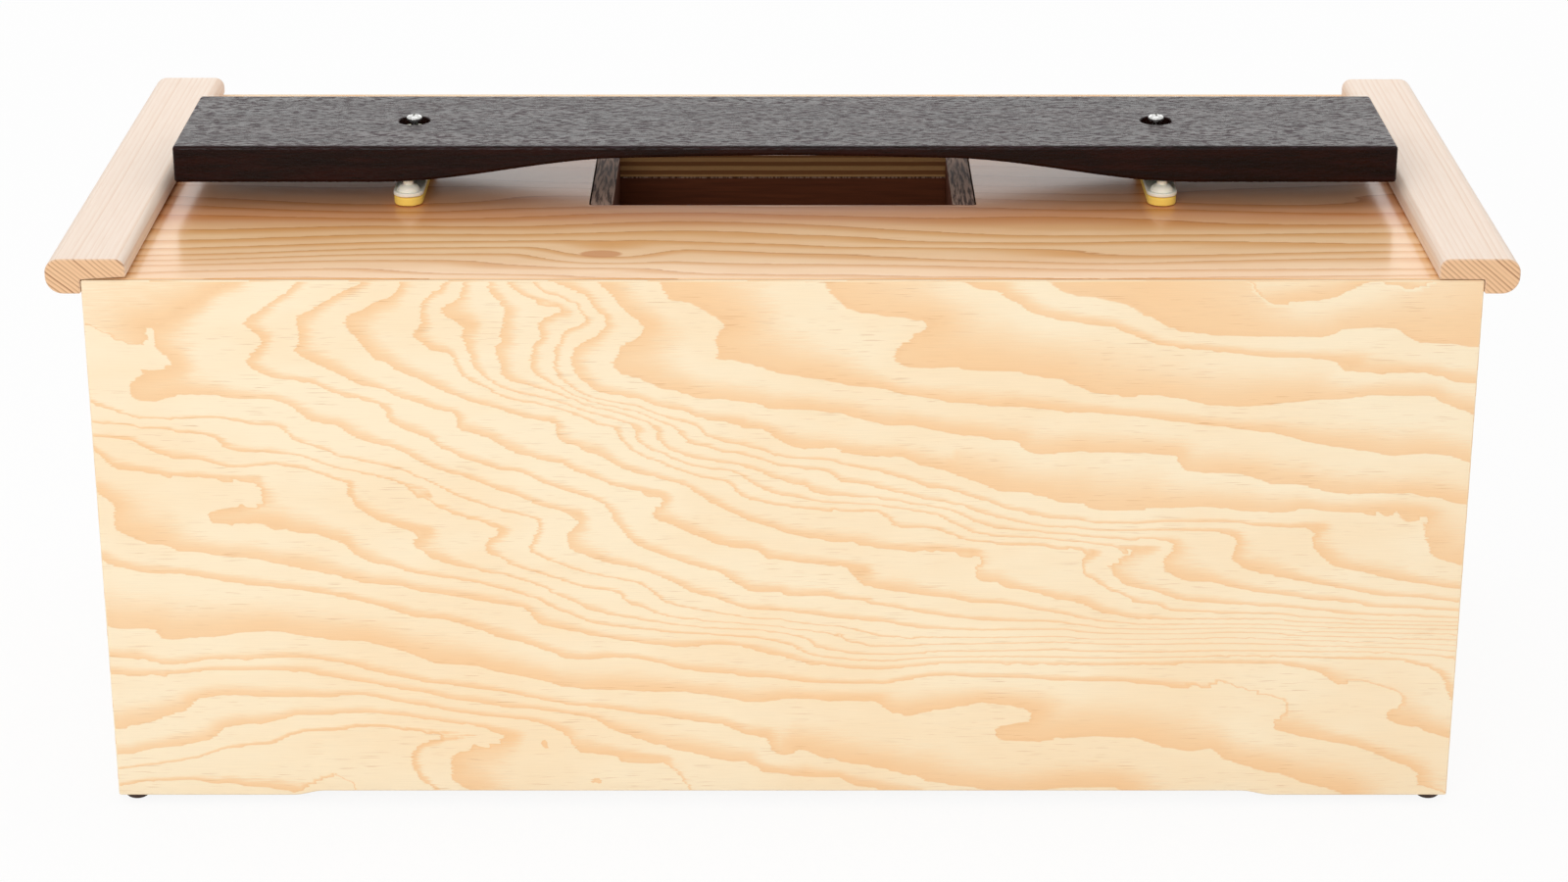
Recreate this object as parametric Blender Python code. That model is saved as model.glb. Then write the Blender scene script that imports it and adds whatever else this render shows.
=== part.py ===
# Bass resonator bar: one tuned hardwood bar over a ported pine plywood box.
# Metres, +Z up. The origin is on the floor under the middle of the box, and the front faces -Y.

import math

import bpy
import bmesh
from mathutils import Matrix, Vector

# Clearances
FIT_GAP = 0.0003            # between two faces that are glued or pressed together
PORT_SIDE_GAP = 0.0008      # open line beside each duct board in the port
ARRIS = 0.0006              # eased edge on plywood

# Box
BOX_WIDTH = 0.680
BOX_DEPTH = 0.3326
BOX_HEIGHT = 0.278          # lower edge of the walls to the face of the top panel
PANEL = 0.012               # thickness of every plywood panel
LAP = 0.0025                # what is left of the front and rear panels outside their rebates
BASE_RECESS = 0.003         # how far the base panel sits above the walls' lower edge
RELIEF_LENGTH = 0.500       # shallow cut under the front and rear panels
RELIEF_RISE = 0.0024
RELIEF_BLEND = 0.015

# Feet, domed rubber buttons
FOOT_HEIGHT = 0.004
FOOT_RADIUS = 0.00635
FOOT_TIP_RADIUS = 0.0028
FOOT_RIM = 0.0009           # straight part of a foot's side
FOOT_INSET = 0.0083         # centre of a foot to the two nearest outer faces

# Port in the top panel, and the duct that hangs from it
PORT_LENGTH = 0.200
PORT_DEPTH = 0.0895
PORT_CORNER = 0.002
DUCT_BOARD = 0.0115
DUCT_LENGTH = 0.105         # face of the top panel to the duct's lower end

# Handle rails, seen from the front: a lipped moulding over each end of the top
RAIL_INWARD = 0.0219
RAIL_OUTWARD = 0.0172
RAIL_RISE = 0.0108
RAIL_DROP = 0.0068
RAIL_TOP_ROUND = 0.007
RAIL_LOWER_ROUND = 0.0084
RAIL_INNER_ROUND = 0.005
RAIL_SEAT_GAP = 0.0004
RAIL_SHORT = {"left": 0.0036, "right": 0.0065}     # each rail stops this far before the rear face
RAIL_LIFT = {"left": 0.0014, "right": 0.0002}      # rise of the underside towards the rail's inner edge

# Tone bar
BAR_LENGTH = 0.628
BAR_WIDTH = 0.096
BAR_THICKNESS = 0.0194
BAR_ROUND = 0.0017          # rounding of every edge
BAR_MIDDLE = 0.0051         # thickness left at the middle of the tuning undercut
CROWN_RISE = 0.0014         # extra thickness at the ends of the flat middle stretch
CROWN_HALF = 0.080          # half the flat middle stretch
ARCH_HALF = 0.208           # half the undercut's length
BAR_HOLE_CHAMFER = 0.0005
HOLE_SPACING = 0.3888       # between the two holes, at the bar's nodes
BAR_OFFSET = 0.0013         # the bar and what carries it stand this far right of the middle

# Bar supports, bottom to top: felt pad, moulded strip, dome, nub
SUPPORT_WIDTH = 0.0155
SUPPORT_OVERHANG = 0.0007   # each support sticks out this far past the bar's long sides
FELT_THICKNESS = 0.0046
FELT_INSET = 0.0002         # the felt is this much smaller than the strip all round
STRIP_THICKNESS = 0.002
STRIP_ROUND = 0.0005
DOME_RADIUS = 0.0059
DOME_RISE = 0.0038
NUB_RADIUS = 0.0027
NUB_RISE = 0.0020
NUB_ROUND = 0.0006

# Screws, and the soft sleeves round them
SHANK_RADIUS = 0.0021
HEAD_RADIUS = 0.0041
HEAD_RISE = 0.0028
HEAD_CROWN = 0.0017         # domed part of the head's height
HEAD_BEND = 0.72            # 1 is a round dome, less is flatter with a tighter rim
HEAD_ABOVE_BAR = 0.0033     # top of the head over the bar's upper face
RECESS_SPAN = 0.0046
RECESS_SLOT = 0.0011
RECESS_DEPTH = 0.0016
SCREW_POINT = 0.004
SCREW_PAST_PANEL = 0.0010
SLEEVE_WALL = 0.0037
SLEEVE_CHAMFER = 0.0005
SLEEVE_PLAY = 0.00205       # between the sleeve and the bar's hole
SHANK_GAP = 0.0004          # play round the shank in the sleeve, strip, felt and panel
SLEEVE_BELOW_BAR_TOP = {"left": 0.0034, "right": 0.0058}

# Facets
ROUND_STEPS = 32
ARC_STEPS = 8
CORNER_STEPS = 4
SMALL_ROUND_STEPS = 24
STRIP_END_STEPS = 16
RELIEF_STEPS = 5
ARCH_STEPS = 44
SHARP_ANGLE = math.radians(35)
EASE_ANGLE = math.radians(40)

# Worked out from the sizes above
walls_base = FOOT_HEIGHT
box_top = walls_base + BOX_HEIGHT
half_width = BOX_WIDTH / 2
half_depth = BOX_DEPTH / 2
base_bottom = walls_base + BASE_RECESS
base_top = base_bottom + PANEL
top_underside = box_top - PANEL
between_laps = BOX_DEPTH - 2 * (LAP + FIT_GAP)
felt_bottom = box_top + FIT_GAP
strip_bottom = felt_bottom + FELT_THICKNESS + FIT_GAP
strip_top = strip_bottom + STRIP_THICKNESS
nub_top = strip_top + DOME_RISE + NUB_RISE
passage_radius = SHANK_RADIUS + SHANK_GAP
sleeve_radius = passage_radius + SLEEVE_WALL
bar_hole_radius = sleeve_radius + SLEEVE_PLAY
support_length = BAR_WIDTH + 2 * SUPPORT_OVERHANG
SIDES = {"left": -1, "right": 1}
ENDS = {"front": -1, "rear": 1}


def smooth_step(share):
    share = min(max(share, 0.0), 1.0)
    return share * share * (3 - 2 * share)


def bar_thickness_at(x):
    """Nearly flat over the middle, then one smooth ramp up to the full thickness."""
    crown = CROWN_RISE * min(abs(x) / CROWN_HALF, 1.0) ** 2
    ramp = smooth_step((abs(x) - CROWN_HALF) / (ARCH_HALF - CROWN_HALF))
    return BAR_MIDDLE + crown + (BAR_THICKNESS - BAR_MIDDLE - CROWN_RISE) * ramp


# The bar rests on the nubs where its undercut is running out
rest_lift = BAR_THICKNESS - bar_thickness_at(HOLE_SPACING / 2 + NUB_RADIUS)
bar_underside = nub_top + FIT_GAP - rest_lift
bar_top = bar_underside + BAR_THICKNESS


# Materials

def wood(name, colour, roughness):
    return surface(name, colour, roughness, 0.0)


def surface(name, colour, roughness, metallic):
    material = bpy.data.materials.new(name)
    material.use_nodes = True
    shader = material.node_tree.nodes["Principled BSDF"]
    shader.inputs["Base Color"].default_value = (*colour, 1.0)
    shader.inputs["Roughness"].default_value = roughness
    shader.inputs["Metallic"].default_value = metallic
    material.diffuse_color = (*colour, 1.0)
    return material


# Small helpers

def add_object(name, bm, material, parent, location=(0, 0, 0)):
    """Turn a bmesh into a named object at a place, shaded smooth but for its sharp edges."""
    bmesh.ops.recalc_face_normals(bm, faces=bm.faces)
    mesh = bpy.data.meshes.new(name)
    bm.to_mesh(mesh)
    bm.free()
    mesh.shade_smooth()
    mesh.set_sharp_from_angle(angle=SHARP_ANGLE)
    if material:
        mesh.materials.append(material)
    obj = bpy.data.objects.new(name, mesh)
    obj.location = location
    obj.parent = parent
    bpy.context.scene.collection.objects.link(obj)
    return obj


def add_helper(name, bm, parent, location=(0, 0, 0)):
    """A cutter, or a shape to be joined on: it never shows by itself."""
    helper = add_object(name, bm, None, parent, location)
    helper.hide_render = True
    helper.display_type = "WIRE"
    return helper


def combine(target, helper, operation):
    boolean = target.modifiers.new(helper.name, "BOOLEAN")
    boolean.operation = operation
    boolean.solver = "EXACT"
    boolean.object = helper
    return boolean


def ease_edges(obj, width, segments=1):
    bevel = obj.modifiers.new("eased edges", "BEVEL")
    bevel.width = width
    bevel.segments = segments
    bevel.limit_method = "ANGLE"
    bevel.angle_limit = EASE_ANGLE
    return bevel


def block(low, high):
    """A plain box between two corners."""
    low = Vector(low)
    high = Vector(high)
    bm = bmesh.new()
    place = Matrix.Translation((low + high) / 2) @ Matrix.Diagonal((*(high - low), 1))
    bmesh.ops.create_cube(bm, size=1, matrix=place)
    return bm


def prism(outline, direction):
    """Extrude a closed outline of 3-D points along a direction."""
    bm = bmesh.new()
    face = bm.faces.new([bm.verts.new(point) for point in outline])
    grown = bmesh.ops.extrude_face_region(bm, geom=[face])
    moved = [item for item in grown["geom"] if isinstance(item, bmesh.types.BMVert)]
    bmesh.ops.translate(bm, verts=moved, vec=direction)
    return bm


def turned(profile, steps=ROUND_STEPS):
    """Spin a profile of (radius, height) points round Z. Its ends lie on the axis or meet."""
    bm = bmesh.new()
    points = [bm.verts.new((radius, 0, height)) for radius, height in profile]
    edges = [bm.edges.new(pair) for pair in zip(points, points[1:])]
    if profile[0][0] > 0:
        edges.append(bm.edges.new((points[-1], points[0])))
    bmesh.ops.spin(
        bm, geom=points + edges, cent=(0, 0, 0), axis=(0, 0, 1),
        angle=math.tau, steps=steps, use_merge=True,
    )
    bmesh.ops.remove_doubles(bm, verts=bm.verts, dist=1e-6)
    return bm


def arc(centre, radius, start, end, steps=ARC_STEPS):
    """Points of an arc between two angles in degrees, both ends included."""
    angles = (math.radians(start + (end - start) * i / steps) for i in range(steps + 1))
    return [(centre[0] + radius * math.cos(a), centre[1] + radius * math.sin(a)) for a in angles]


def rounded_rectangle(width, height, radius):
    x = width / 2 - radius
    y = height / 2 - radius
    return (
        arc((x, y), radius, 0, 90, CORNER_STEPS)
        + arc((-x, y), radius, 90, 180, CORNER_STEPS)
        + arc((-x, -y), radius, 180, 270, CORNER_STEPS)
        + arc((x, -y), radius, 270, 360, CORNER_STEPS)
    )


def stadium(width, length):
    """A strip with half-round ends, its length along Y."""
    radius = width / 2
    reach = length / 2 - radius
    ends = arc((0, reach), radius, 0, 180, STRIP_END_STEPS)
    return ends + arc((0, -reach), radius, 180, 360, STRIP_END_STEPS)


def support_x(side):
    """Where a screw, its sleeve and its support stand."""
    return BAR_OFFSET + SIDES[side] * HOLE_SPACING / 2


# The box

def relieved_outline(y):
    """Front or rear panel seen from the front, its lower edge cut back between the corners."""
    reach = RELIEF_LENGTH / 2
    shares = [i / RELIEF_STEPS for i in range(RELIEF_STEPS + 1)]
    left = [(-reach + RELIEF_BLEND * s, walls_base + RELIEF_RISE * smooth_step(s)) for s in shares]
    right = [(-x, z) for x, z in reversed(left)]
    lower = [(-half_width, walls_base)] + left + right + [(half_width, walls_base)]
    return [(x, y, z) for x, z in lower + [(half_width, box_top), (-half_width, box_top)]]


def make_end_panel(end, material, parent):
    """Front or rear panel. A rebate round its inner face takes the other four panels' edges."""
    out = ENDS[end]
    face_y = out * half_depth
    skin = prism(relieved_outline(face_y), (0, -out * LAP, 0))
    panel = add_object(end + "_panel", skin, material, parent)
    reach = half_width - PANEL - FIT_GAP
    ends_y = sorted((face_y - out * LAP / 2, face_y - out * PANEL))
    core = block(
        (-reach, ends_y[0], base_top + FIT_GAP),
        (reach, ends_y[1], top_underside - FIT_GAP),
    )
    combine(panel, add_helper(end + "_panel_core", core, parent), "UNION")
    ease_edges(panel, ARRIS)
    return panel


def make_side_panel(side, material, parent):
    out = SIDES[side]
    size = Vector((PANEL, between_laps, top_underside - FIT_GAP - walls_base))
    centre = (out * (half_width - PANEL / 2), 0, walls_base + size.z / 2)
    panel = add_object(side + "_side_panel", block(-size / 2, size / 2), material, parent, centre)
    ease_edges(panel, ARRIS)
    return panel


def make_base_panel(material, parent):
    size = Vector((BOX_WIDTH - 2 * (PANEL + FIT_GAP), between_laps, PANEL))
    centre = (0, 0, base_bottom + PANEL / 2)
    panel = add_object("base_panel", block(-size / 2, size / 2), material, parent, centre)
    ease_edges(panel, ARRIS)
    return panel


def make_top_panel(material, parent):
    """Lies over the side panels, with the port in its middle and a passage for each screw."""
    size = Vector((BOX_WIDTH, between_laps, PANEL))
    centre = (0, 0, box_top - PANEL / 2)
    panel = add_object("top_panel", block(-size / 2, size / 2), material, parent, centre)
    ease_edges(panel, ARRIS)
    outline = rounded_rectangle(PORT_LENGTH, PORT_DEPTH, PORT_CORNER)
    port = prism([(x, y, -PANEL) for x, y in outline], (0, 0, 2 * PANEL))
    combine(panel, add_helper("port_cutter", port, parent, centre), "DIFFERENCE")
    for side in SIDES:
        passage = turned([(0, -PANEL), (passage_radius, -PANEL), (passage_radius, PANEL), (0, PANEL)])
        place = (support_x(side), 0, centre[2])
        combine(panel, add_helper(side + "_passage_cutter", passage, parent, place), "DIFFERENCE")
    return panel


def make_duct(material, parent):
    """Four boards. The left and right ones stand up through the port, flush with the top."""
    duct_end = box_top - DUCT_LENGTH
    inner_depth = PORT_DEPTH - 2 * FIT_GAP
    for side, out in SIDES.items():
        size = Vector((DUCT_BOARD, inner_depth, DUCT_LENGTH))
        x = out * (PORT_LENGTH / 2 - PORT_SIDE_GAP - DUCT_BOARD / 2)
        outline = rounded_rectangle(size.x, size.y, PORT_CORNER)
        bm = prism([(px, py, -size.z / 2) for px, py in outline], (0, 0, size.z))
        centre = (x, 0, duct_end + size.z / 2)
        add_object("duct_board_" + side, bm, material, parent, centre)
    for end, out in ENDS.items():
        size = Vector((PORT_LENGTH, DUCT_BOARD, DUCT_LENGTH - PANEL - FIT_GAP))
        y = out * (PORT_DEPTH / 2 + DUCT_BOARD / 2)
        centre = (0, y, duct_end + size.z / 2)
        board = add_object("duct_board_" + end, block(-size / 2, size / 2), material, parent, centre)
        ease_edges(board, ARRIS)


def make_foot(side, end, material, parent):
    """A stick-on button: straight rim, then a dome down to a flat tip on the floor."""
    height = FOOT_HEIGHT - FIT_GAP
    dome = height - FOOT_RIM
    spread = FOOT_RADIUS - FOOT_TIP_RADIUS
    angles = [math.radians(90 * i / ARC_STEPS) for i in range(ARC_STEPS + 1)]
    curve = [(FOOT_TIP_RADIUS + spread * math.sin(a), dome * (1 - math.cos(a))) for a in angles]
    profile = [(0, 0)] + curve + [(FOOT_RADIUS, height), (0, height)]
    x = SIDES[side] * (half_width - FOOT_INSET)
    y = ENDS[end] * (half_depth - FOOT_INSET)
    add_object("foot_" + end + "_" + side, turned(profile, SMALL_ROUND_STEPS), material, parent, (x, y, 0))


# Handle rails

def rail_outline(side):
    """Right-hand rail seen from the front, measured outwards from the box's side face."""
    lower = -RAIL_DROP
    inner = -RAIL_INWARD
    top = RAIL_RISE
    lip = RAIL_SEAT_GAP
    turn_x = RAIL_OUTWARD - RAIL_LOWER_ROUND
    top_x = RAIL_OUTWARD - RAIL_TOP_ROUND
    outline = [(lip, RAIL_SEAT_GAP), (lip, lower)]
    outline += arc((turn_x, lower + RAIL_LOWER_ROUND), RAIL_LOWER_ROUND, 270, 360)
    outline += arc((top_x, top - RAIL_TOP_ROUND), RAIL_TOP_ROUND, 0, 90)
    outline += arc((inner + RAIL_INNER_ROUND, top - RAIL_INNER_ROUND), RAIL_INNER_ROUND, 90, 180)
    outline += [(inner, RAIL_SEAT_GAP + RAIL_LIFT[side])]
    return outline


def make_rail(side, material, parent):
    """Sits on the end of the top panel, with a lip down over the box's side."""
    out = SIDES[side]
    length = BOX_DEPTH - RAIL_SHORT[side]
    outline = [(out * x, 0, z) for x, z in rail_outline(side)]
    rail = add_object(
        "handle_rail_" + side, prism(outline, (0, length, 0)), material, parent,
        (out * half_width, -half_depth, box_top),
    )
    ease_edges(rail, ARRIS)
    return rail


# Tone bar

def make_tone_bar(material, parent):
    """Long bar with its undercut, rounded edges and two through holes.

    Its own origin is the middle of its underside, which is on the line it lifts along.
    """
    reach = BAR_LENGTH / 2
    stations = [ARCH_HALF * (2 * i / ARCH_STEPS - 1) for i in range(ARCH_STEPS + 1)]
    lower = [(x, BAR_THICKNESS - bar_thickness_at(x)) for x in stations]
    outline = [(-reach, 0)] + lower + [(reach, 0), (reach, BAR_THICKNESS), (-reach, BAR_THICKNESS)]
    start = -BAR_WIDTH / 2
    bm = prism([(x, start, z) for x, z in outline], (0, BAR_WIDTH, 0))
    bar = add_object("tone_bar", bm, material, parent)
    ease_edges(bar, BAR_ROUND, 3)
    flare = bar_hole_radius + 2 * BAR_HOLE_CHAMFER
    past = BAR_HOLE_CHAMFER
    profile = [
        (0, -past),
        (flare, -past),
        (bar_hole_radius, BAR_HOLE_CHAMFER),
        (bar_hole_radius, BAR_THICKNESS - BAR_HOLE_CHAMFER),
        (flare, BAR_THICKNESS + past),
        (0, BAR_THICKNESS + past),
    ]
    for side, out in SIDES.items():
        place = (out * HOLE_SPACING / 2, 0, 0)
        cutter = add_helper(side + "_bar_hole_cutter", turned(profile), parent, place)
        combine(bar, cutter, "DIFFERENCE")
    return bar


# What carries the bar

def passage_cutter(name, height, parent, place):
    """A round hole for the screw through a piece that starts at local height 0."""
    past = height / 2
    profile = [(0, -past), (passage_radius, -past), (passage_radius, height + past), (0, height + past)]
    return add_helper(name, turned(profile), parent, place)


def make_felt_pad(side, material, parent):
    outline = stadium(SUPPORT_WIDTH - 2 * FELT_INSET, support_length - 2 * FELT_INSET)
    bm = prism([(x, y, 0) for x, y in outline], (0, 0, FELT_THICKNESS))
    place = (support_x(side), 0, felt_bottom)
    felt = add_object("felt_pad_" + side, bm, material, parent, place)
    cutter = passage_cutter("felt_cutter_" + side, FELT_THICKNESS, parent, place)
    combine(felt, cutter, "DIFFERENCE")
    return felt


def nub_profile():
    """Dome and nub as one turned shape, rooted inside the strip."""
    foot = -STRIP_THICKNESS / 2
    angles = [math.radians(90 * i / ARC_STEPS) for i in range(ARC_STEPS + 1)]
    dome = [(DOME_RADIUS * math.cos(a), DOME_RISE * math.sin(a)) for a in angles]
    dome = [point for point in dome if point[0] > NUB_RADIUS]
    crest = math.sqrt(1 - (NUB_RADIUS / DOME_RADIUS) ** 2) * DOME_RISE
    top = DOME_RISE + NUB_RISE
    rim = arc((NUB_RADIUS - NUB_ROUND, top - NUB_ROUND), NUB_ROUND, 0, 90, CORNER_STEPS)
    return [(0, foot), (DOME_RADIUS, foot)] + dome + [(NUB_RADIUS, crest)] + rim + [(0, top)]


def make_bar_support(side, material, parent):
    """Moulded strip with a dome and a nub at each end, which are all that the bar rests on."""
    outline = stadium(SUPPORT_WIDTH, support_length)
    bm = prism([(x, y, 0) for x, y in outline], (0, 0, STRIP_THICKNESS))
    place = (support_x(side), 0, strip_bottom)
    support = add_object("bar_support_" + side, bm, material, parent, place)
    ease_edges(support, STRIP_ROUND, 2)
    reach = (support_length - SUPPORT_WIDTH) / 2
    for end, out in ENDS.items():
        spot = (place[0], out * reach, strip_top)
        nub = add_helper("nub_" + side + "_" + end, turned(nub_profile()), parent, spot)
        combine(support, nub, "UNION")
    cutter = passage_cutter("strip_cutter_" + side, STRIP_THICKNESS, parent, place)
    combine(support, cutter, "DIFFERENCE")
    return support


def make_sleeve(side, material, parent):
    """Soft tube round the screw, standing on the strip inside the bar's hole."""
    bottom = strip_top + FIT_GAP
    height = bar_top - SLEEVE_BELOW_BAR_TOP[side] - bottom
    profile = [
        (passage_radius, 0),
        (sleeve_radius, 0),
        (sleeve_radius, height - SLEEVE_CHAMFER),
        (sleeve_radius - SLEEVE_CHAMFER, height),
        (passage_radius + SLEEVE_CHAMFER, height),
        (passage_radius, height - SLEEVE_CHAMFER),
    ]
    place = (support_x(side), 0, bottom)
    add_object("screw_sleeve_" + side, turned(profile), material, parent, place)


def make_screw(side, material, parent):
    """Pan head with a cross recess, plain shank and a point just through the top panel."""
    head_top = bar_top + HEAD_ABOVE_BAR
    tip = top_underside - SCREW_PAST_PANEL
    length = head_top - tip
    under_head = length - HEAD_RISE
    angles = [math.radians(90 * i / ARC_STEPS) for i in range(ARC_STEPS + 1)]
    pan = [
        (
            HEAD_RADIUS * (HEAD_BEND * math.cos(a) + (1 - HEAD_BEND) * math.sqrt(math.cos(a))),
            length - HEAD_CROWN + HEAD_CROWN * math.sin(a),
        )
        for a in angles[:-1]
    ]
    profile = [(0, 0), (SHANK_RADIUS, SCREW_POINT), (SHANK_RADIUS, under_head), (HEAD_RADIUS, under_head)]
    place = (support_x(side), 0, tip)
    bm = turned(profile + pan + [(0, length)], SMALL_ROUND_STEPS)
    screw = add_object("bar_screw_" + side, bm, material, parent, place)
    floor = length - RECESS_DEPTH
    ceiling = length + HEAD_RISE
    bar = block((-RECESS_SPAN / 2, -RECESS_SLOT / 2, floor), (RECESS_SPAN / 2, RECESS_SLOT / 2, ceiling))
    cross = add_helper("recess_" + side, bar, parent, place)
    bar = block((-RECESS_SLOT / 2, -RECESS_SPAN / 2, floor), (RECESS_SLOT / 2, RECESS_SPAN / 2, ceiling))
    combine(cross, add_helper("recess_arm_" + side, bar, parent, place), "UNION")
    combine(screw, cross, "DIFFERENCE")
    return screw


def add_empty(name, location):
    empty = bpy.data.objects.new(name, None)
    empty.empty_display_size = 0.05
    empty.location = location
    bpy.context.scene.collection.objects.link(empty)
    return empty


def main():
    for obj in list(bpy.data.objects):
        bpy.data.objects.remove(obj)

    pine = wood("pine_plywood", (0.93, 0.72, 0.48), 0.45)
    lacquered = wood("lacquered_pine_top", (0.72, 0.47, 0.24), 0.15)
    rail_pine = wood("rail_pine", (0.90, 0.74, 0.60), 0.5)
    duct_wood = wood("duct_pine", (0.42, 0.26, 0.15), 0.6)
    hardwood = wood("stained_hardwood", (0.035, 0.012, 0.010), 0.35)
    felt = surface("yellow_felt", (0.90, 0.60, 0.10), 0.95, 0.0)
    white = surface("white_moulding", (0.82, 0.80, 0.70), 0.45, 0.0)
    zinc = surface("zinc_plated_steel", (0.80, 0.80, 0.80), 0.25, 1.0)
    rubber = surface("brown_rubber", (0.045, 0.025, 0.018), 0.7, 0.0)

    box = add_empty("resonator_box", (0, 0, 0))
    lift = add_empty("bar_lift_axis", (BAR_OFFSET, 0, bar_underside))

    for end in ENDS:
        make_end_panel(end, pine, box)
    for side in SIDES:
        make_side_panel(side, pine, box)
    make_base_panel(pine, box)
    make_top_panel(lacquered, box)
    make_duct(duct_wood, box)
    for side in SIDES:
        make_rail(side, rail_pine, box)
        make_felt_pad(side, felt, box)
        make_bar_support(side, white, box)
        make_sleeve(side, white, box)
        make_screw(side, zinc, box)
        for end in ENDS:
            make_foot(side, end, rubber, box)
    make_tone_bar(hardwood, lift)


main()
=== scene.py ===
import math
import bmesh
import bpy
import numpy as np
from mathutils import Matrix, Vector, noise
from mathutils.kdtree import KDTree


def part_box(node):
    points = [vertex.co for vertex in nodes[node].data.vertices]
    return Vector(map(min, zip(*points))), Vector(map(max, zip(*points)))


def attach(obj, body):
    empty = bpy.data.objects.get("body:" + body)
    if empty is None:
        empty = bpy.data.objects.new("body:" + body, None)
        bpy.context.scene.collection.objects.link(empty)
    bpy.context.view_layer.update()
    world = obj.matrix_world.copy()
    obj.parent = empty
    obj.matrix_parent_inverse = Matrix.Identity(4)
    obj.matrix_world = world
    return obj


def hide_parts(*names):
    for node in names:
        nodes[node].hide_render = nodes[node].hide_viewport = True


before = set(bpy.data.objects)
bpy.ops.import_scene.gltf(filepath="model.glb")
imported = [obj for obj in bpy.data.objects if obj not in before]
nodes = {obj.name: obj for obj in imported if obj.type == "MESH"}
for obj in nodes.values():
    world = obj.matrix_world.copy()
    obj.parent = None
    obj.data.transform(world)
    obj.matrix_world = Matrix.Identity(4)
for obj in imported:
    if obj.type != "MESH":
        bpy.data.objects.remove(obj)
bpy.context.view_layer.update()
print("frame in:", len(nodes), "nodes")

mm = 0.001
sides = ("left", "right")


# short ways to add shader nodes

def addNode(tree, kind, inputs=None, **settings):
    made = tree.nodes.new("ShaderNode" + kind)
    for name, value in settings.items():
        setattr(made, name, value)
    for name, value in (inputs or {}).items():
        plug(tree, made.inputs[name], value)
    return made


def plug(tree, socket, value):
    if isinstance(value, bpy.types.NodeSocket):
        tree.links.new(value, socket)
    elif value is not None:
        if socket.type == "RGBA" and len(value) == 3:
            value = (*value, 1)
        socket.default_value = value


def calc(tree, operation, a, b=None, c=None):
    return addNode(tree, "Math", {0: a, 1: b, 2: c}, operation=operation).outputs[0]


def blendColour(tree, share, a, b, mode="MIX"):
    made = addNode(tree, "Mix", data_type="RGBA", blend_type=mode, clamp_factor=True)
    plug(tree, made.inputs[0], share)
    plug(tree, made.inputs[6], a)
    plug(tree, made.inputs[7], b)
    return made.outputs[2]


def stretched(tree, point, factors):
    return addNode(tree, "VectorMath", {0: point, 1: factors}, operation="MULTIPLY").outputs[0]


def noiseAt(tree, point, scale=1.0, detail=2.0, rough=0.5, warp=0.0):
    inputs = {"Vector": point, "Scale": scale, "Detail": detail, "Roughness": rough, "Distortion": warp}
    return addNode(tree, "TexNoise", inputs).outputs["Fac"]


def stretchedNoise(tree, point, factors, detail=2.0, rough=0.5, warp=0.0):
    # factors: how many lumps per metre along each axis
    return noiseAt(tree, stretched(tree, point, factors), 1.0, detail, rough, warp)


def centred(tree, value, size=None):
    # a noise value moved to lie round 0, times size if given
    value = calc(tree, "SUBTRACT", value, 0.5)
    return value if size is None else calc(tree, "MULTIPLY", value, size)


def remap(tree, value, low, high, outLow, outHigh, smooth=False):
    # low becomes outLow, high becomes outHigh, and nothing goes past either
    made = addNode(tree, "MapRange", {
        "Value": value, "From Min": low, "From Max": high, "To Min": outLow, "To Max": outHigh,
    })
    made.interpolation_type = "SMOOTHSTEP" if smooth else "LINEAR"
    return made.outputs[0]


def between(tree, value, low, high, smooth=True):
    # 0 below low, 1 above high
    return remap(tree, value, low, high, 0.0, 1.0, smooth)


def srgb(red, green, blue):
    # a colour as a paint program shows it
    parts = (red / 255, green / 255, blue / 255)
    return tuple(v / 12.92 if v <= 0.04045 else ((v + 0.055) / 1.055) ** 2.4 for v in parts)


def newMaterial(name):
    made = bpy.data.materials.new(name)
    made.use_nodes = True
    tree = made.node_tree
    shader = tree.nodes["Principled BSDF"]
    point = addNode(tree, "TexCoord").outputs["Object"]
    return made, tree, shader, point


def setShader(tree, shader, **values):
    # each value is a number, a colour or the output of a node
    names = {
        "colour": "Base Color", "rough": "Roughness", "ior": "IOR", "specular": "Specular IOR Level",
        "metallic": "Metallic", "coat": "Coat Weight", "coatRough": "Coat Roughness", "coatIor": "Coat IOR",
    }
    for key, value in values.items():
        plug(tree, shader.inputs[names[key]], value)


def setBump(tree, shader, height, distance):
    made = addNode(tree, "Bump", {"Height": height, "Distance": distance, "Strength": 1.0})
    tree.links.new(made.outputs[0], shader.inputs["Normal"])


# the woods

def axes(tree, point, order="XYZ"):
    # the parts of a vector in that order
    split = addNode(tree, "SeparateXYZ", {0: point})
    return [split.outputs["XYZ".index(letter)] for letter in order]


def joined(tree, a, b, c=0.0):
    return addNode(tree, "CombineXYZ", {0: a, 1: b, 2: c}).outputs[0]


def facing(tree, letter):
    # how far the surface looks along that axis, from 0 to 1
    normal = addNode(tree, "TexCoord").outputs["Normal"]
    return calc(tree, "ABSOLUTE", axes(tree, normal, letter)[0])


# parts of one ring, from 0 to 1: where its orange part starts if it has no share of the ring,
# how far towards 0 that start moves if it has all of it, and where the sharp edge starts
ringShape = {"lateEnd": 0.96, "lateReach": 1.25, "edgeFrom": 0.985}
# lumps per metre along, across and through a board: ragged ring edges, fine streaks,
# pores and the areas where they gather, and the ends of the plies
fibre = {
    "jagX": (75, 1250, 1), "jagZ": (60, 160, 1), "streak": (45, 2600, 1),
    "pore": (60, 2600, 1), "poreArea": (14, 60, 1), "plyFine": (900, 900, 2400),
}
roughSwing = 0.04    # roughness goes this much up and down with the streaks


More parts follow.
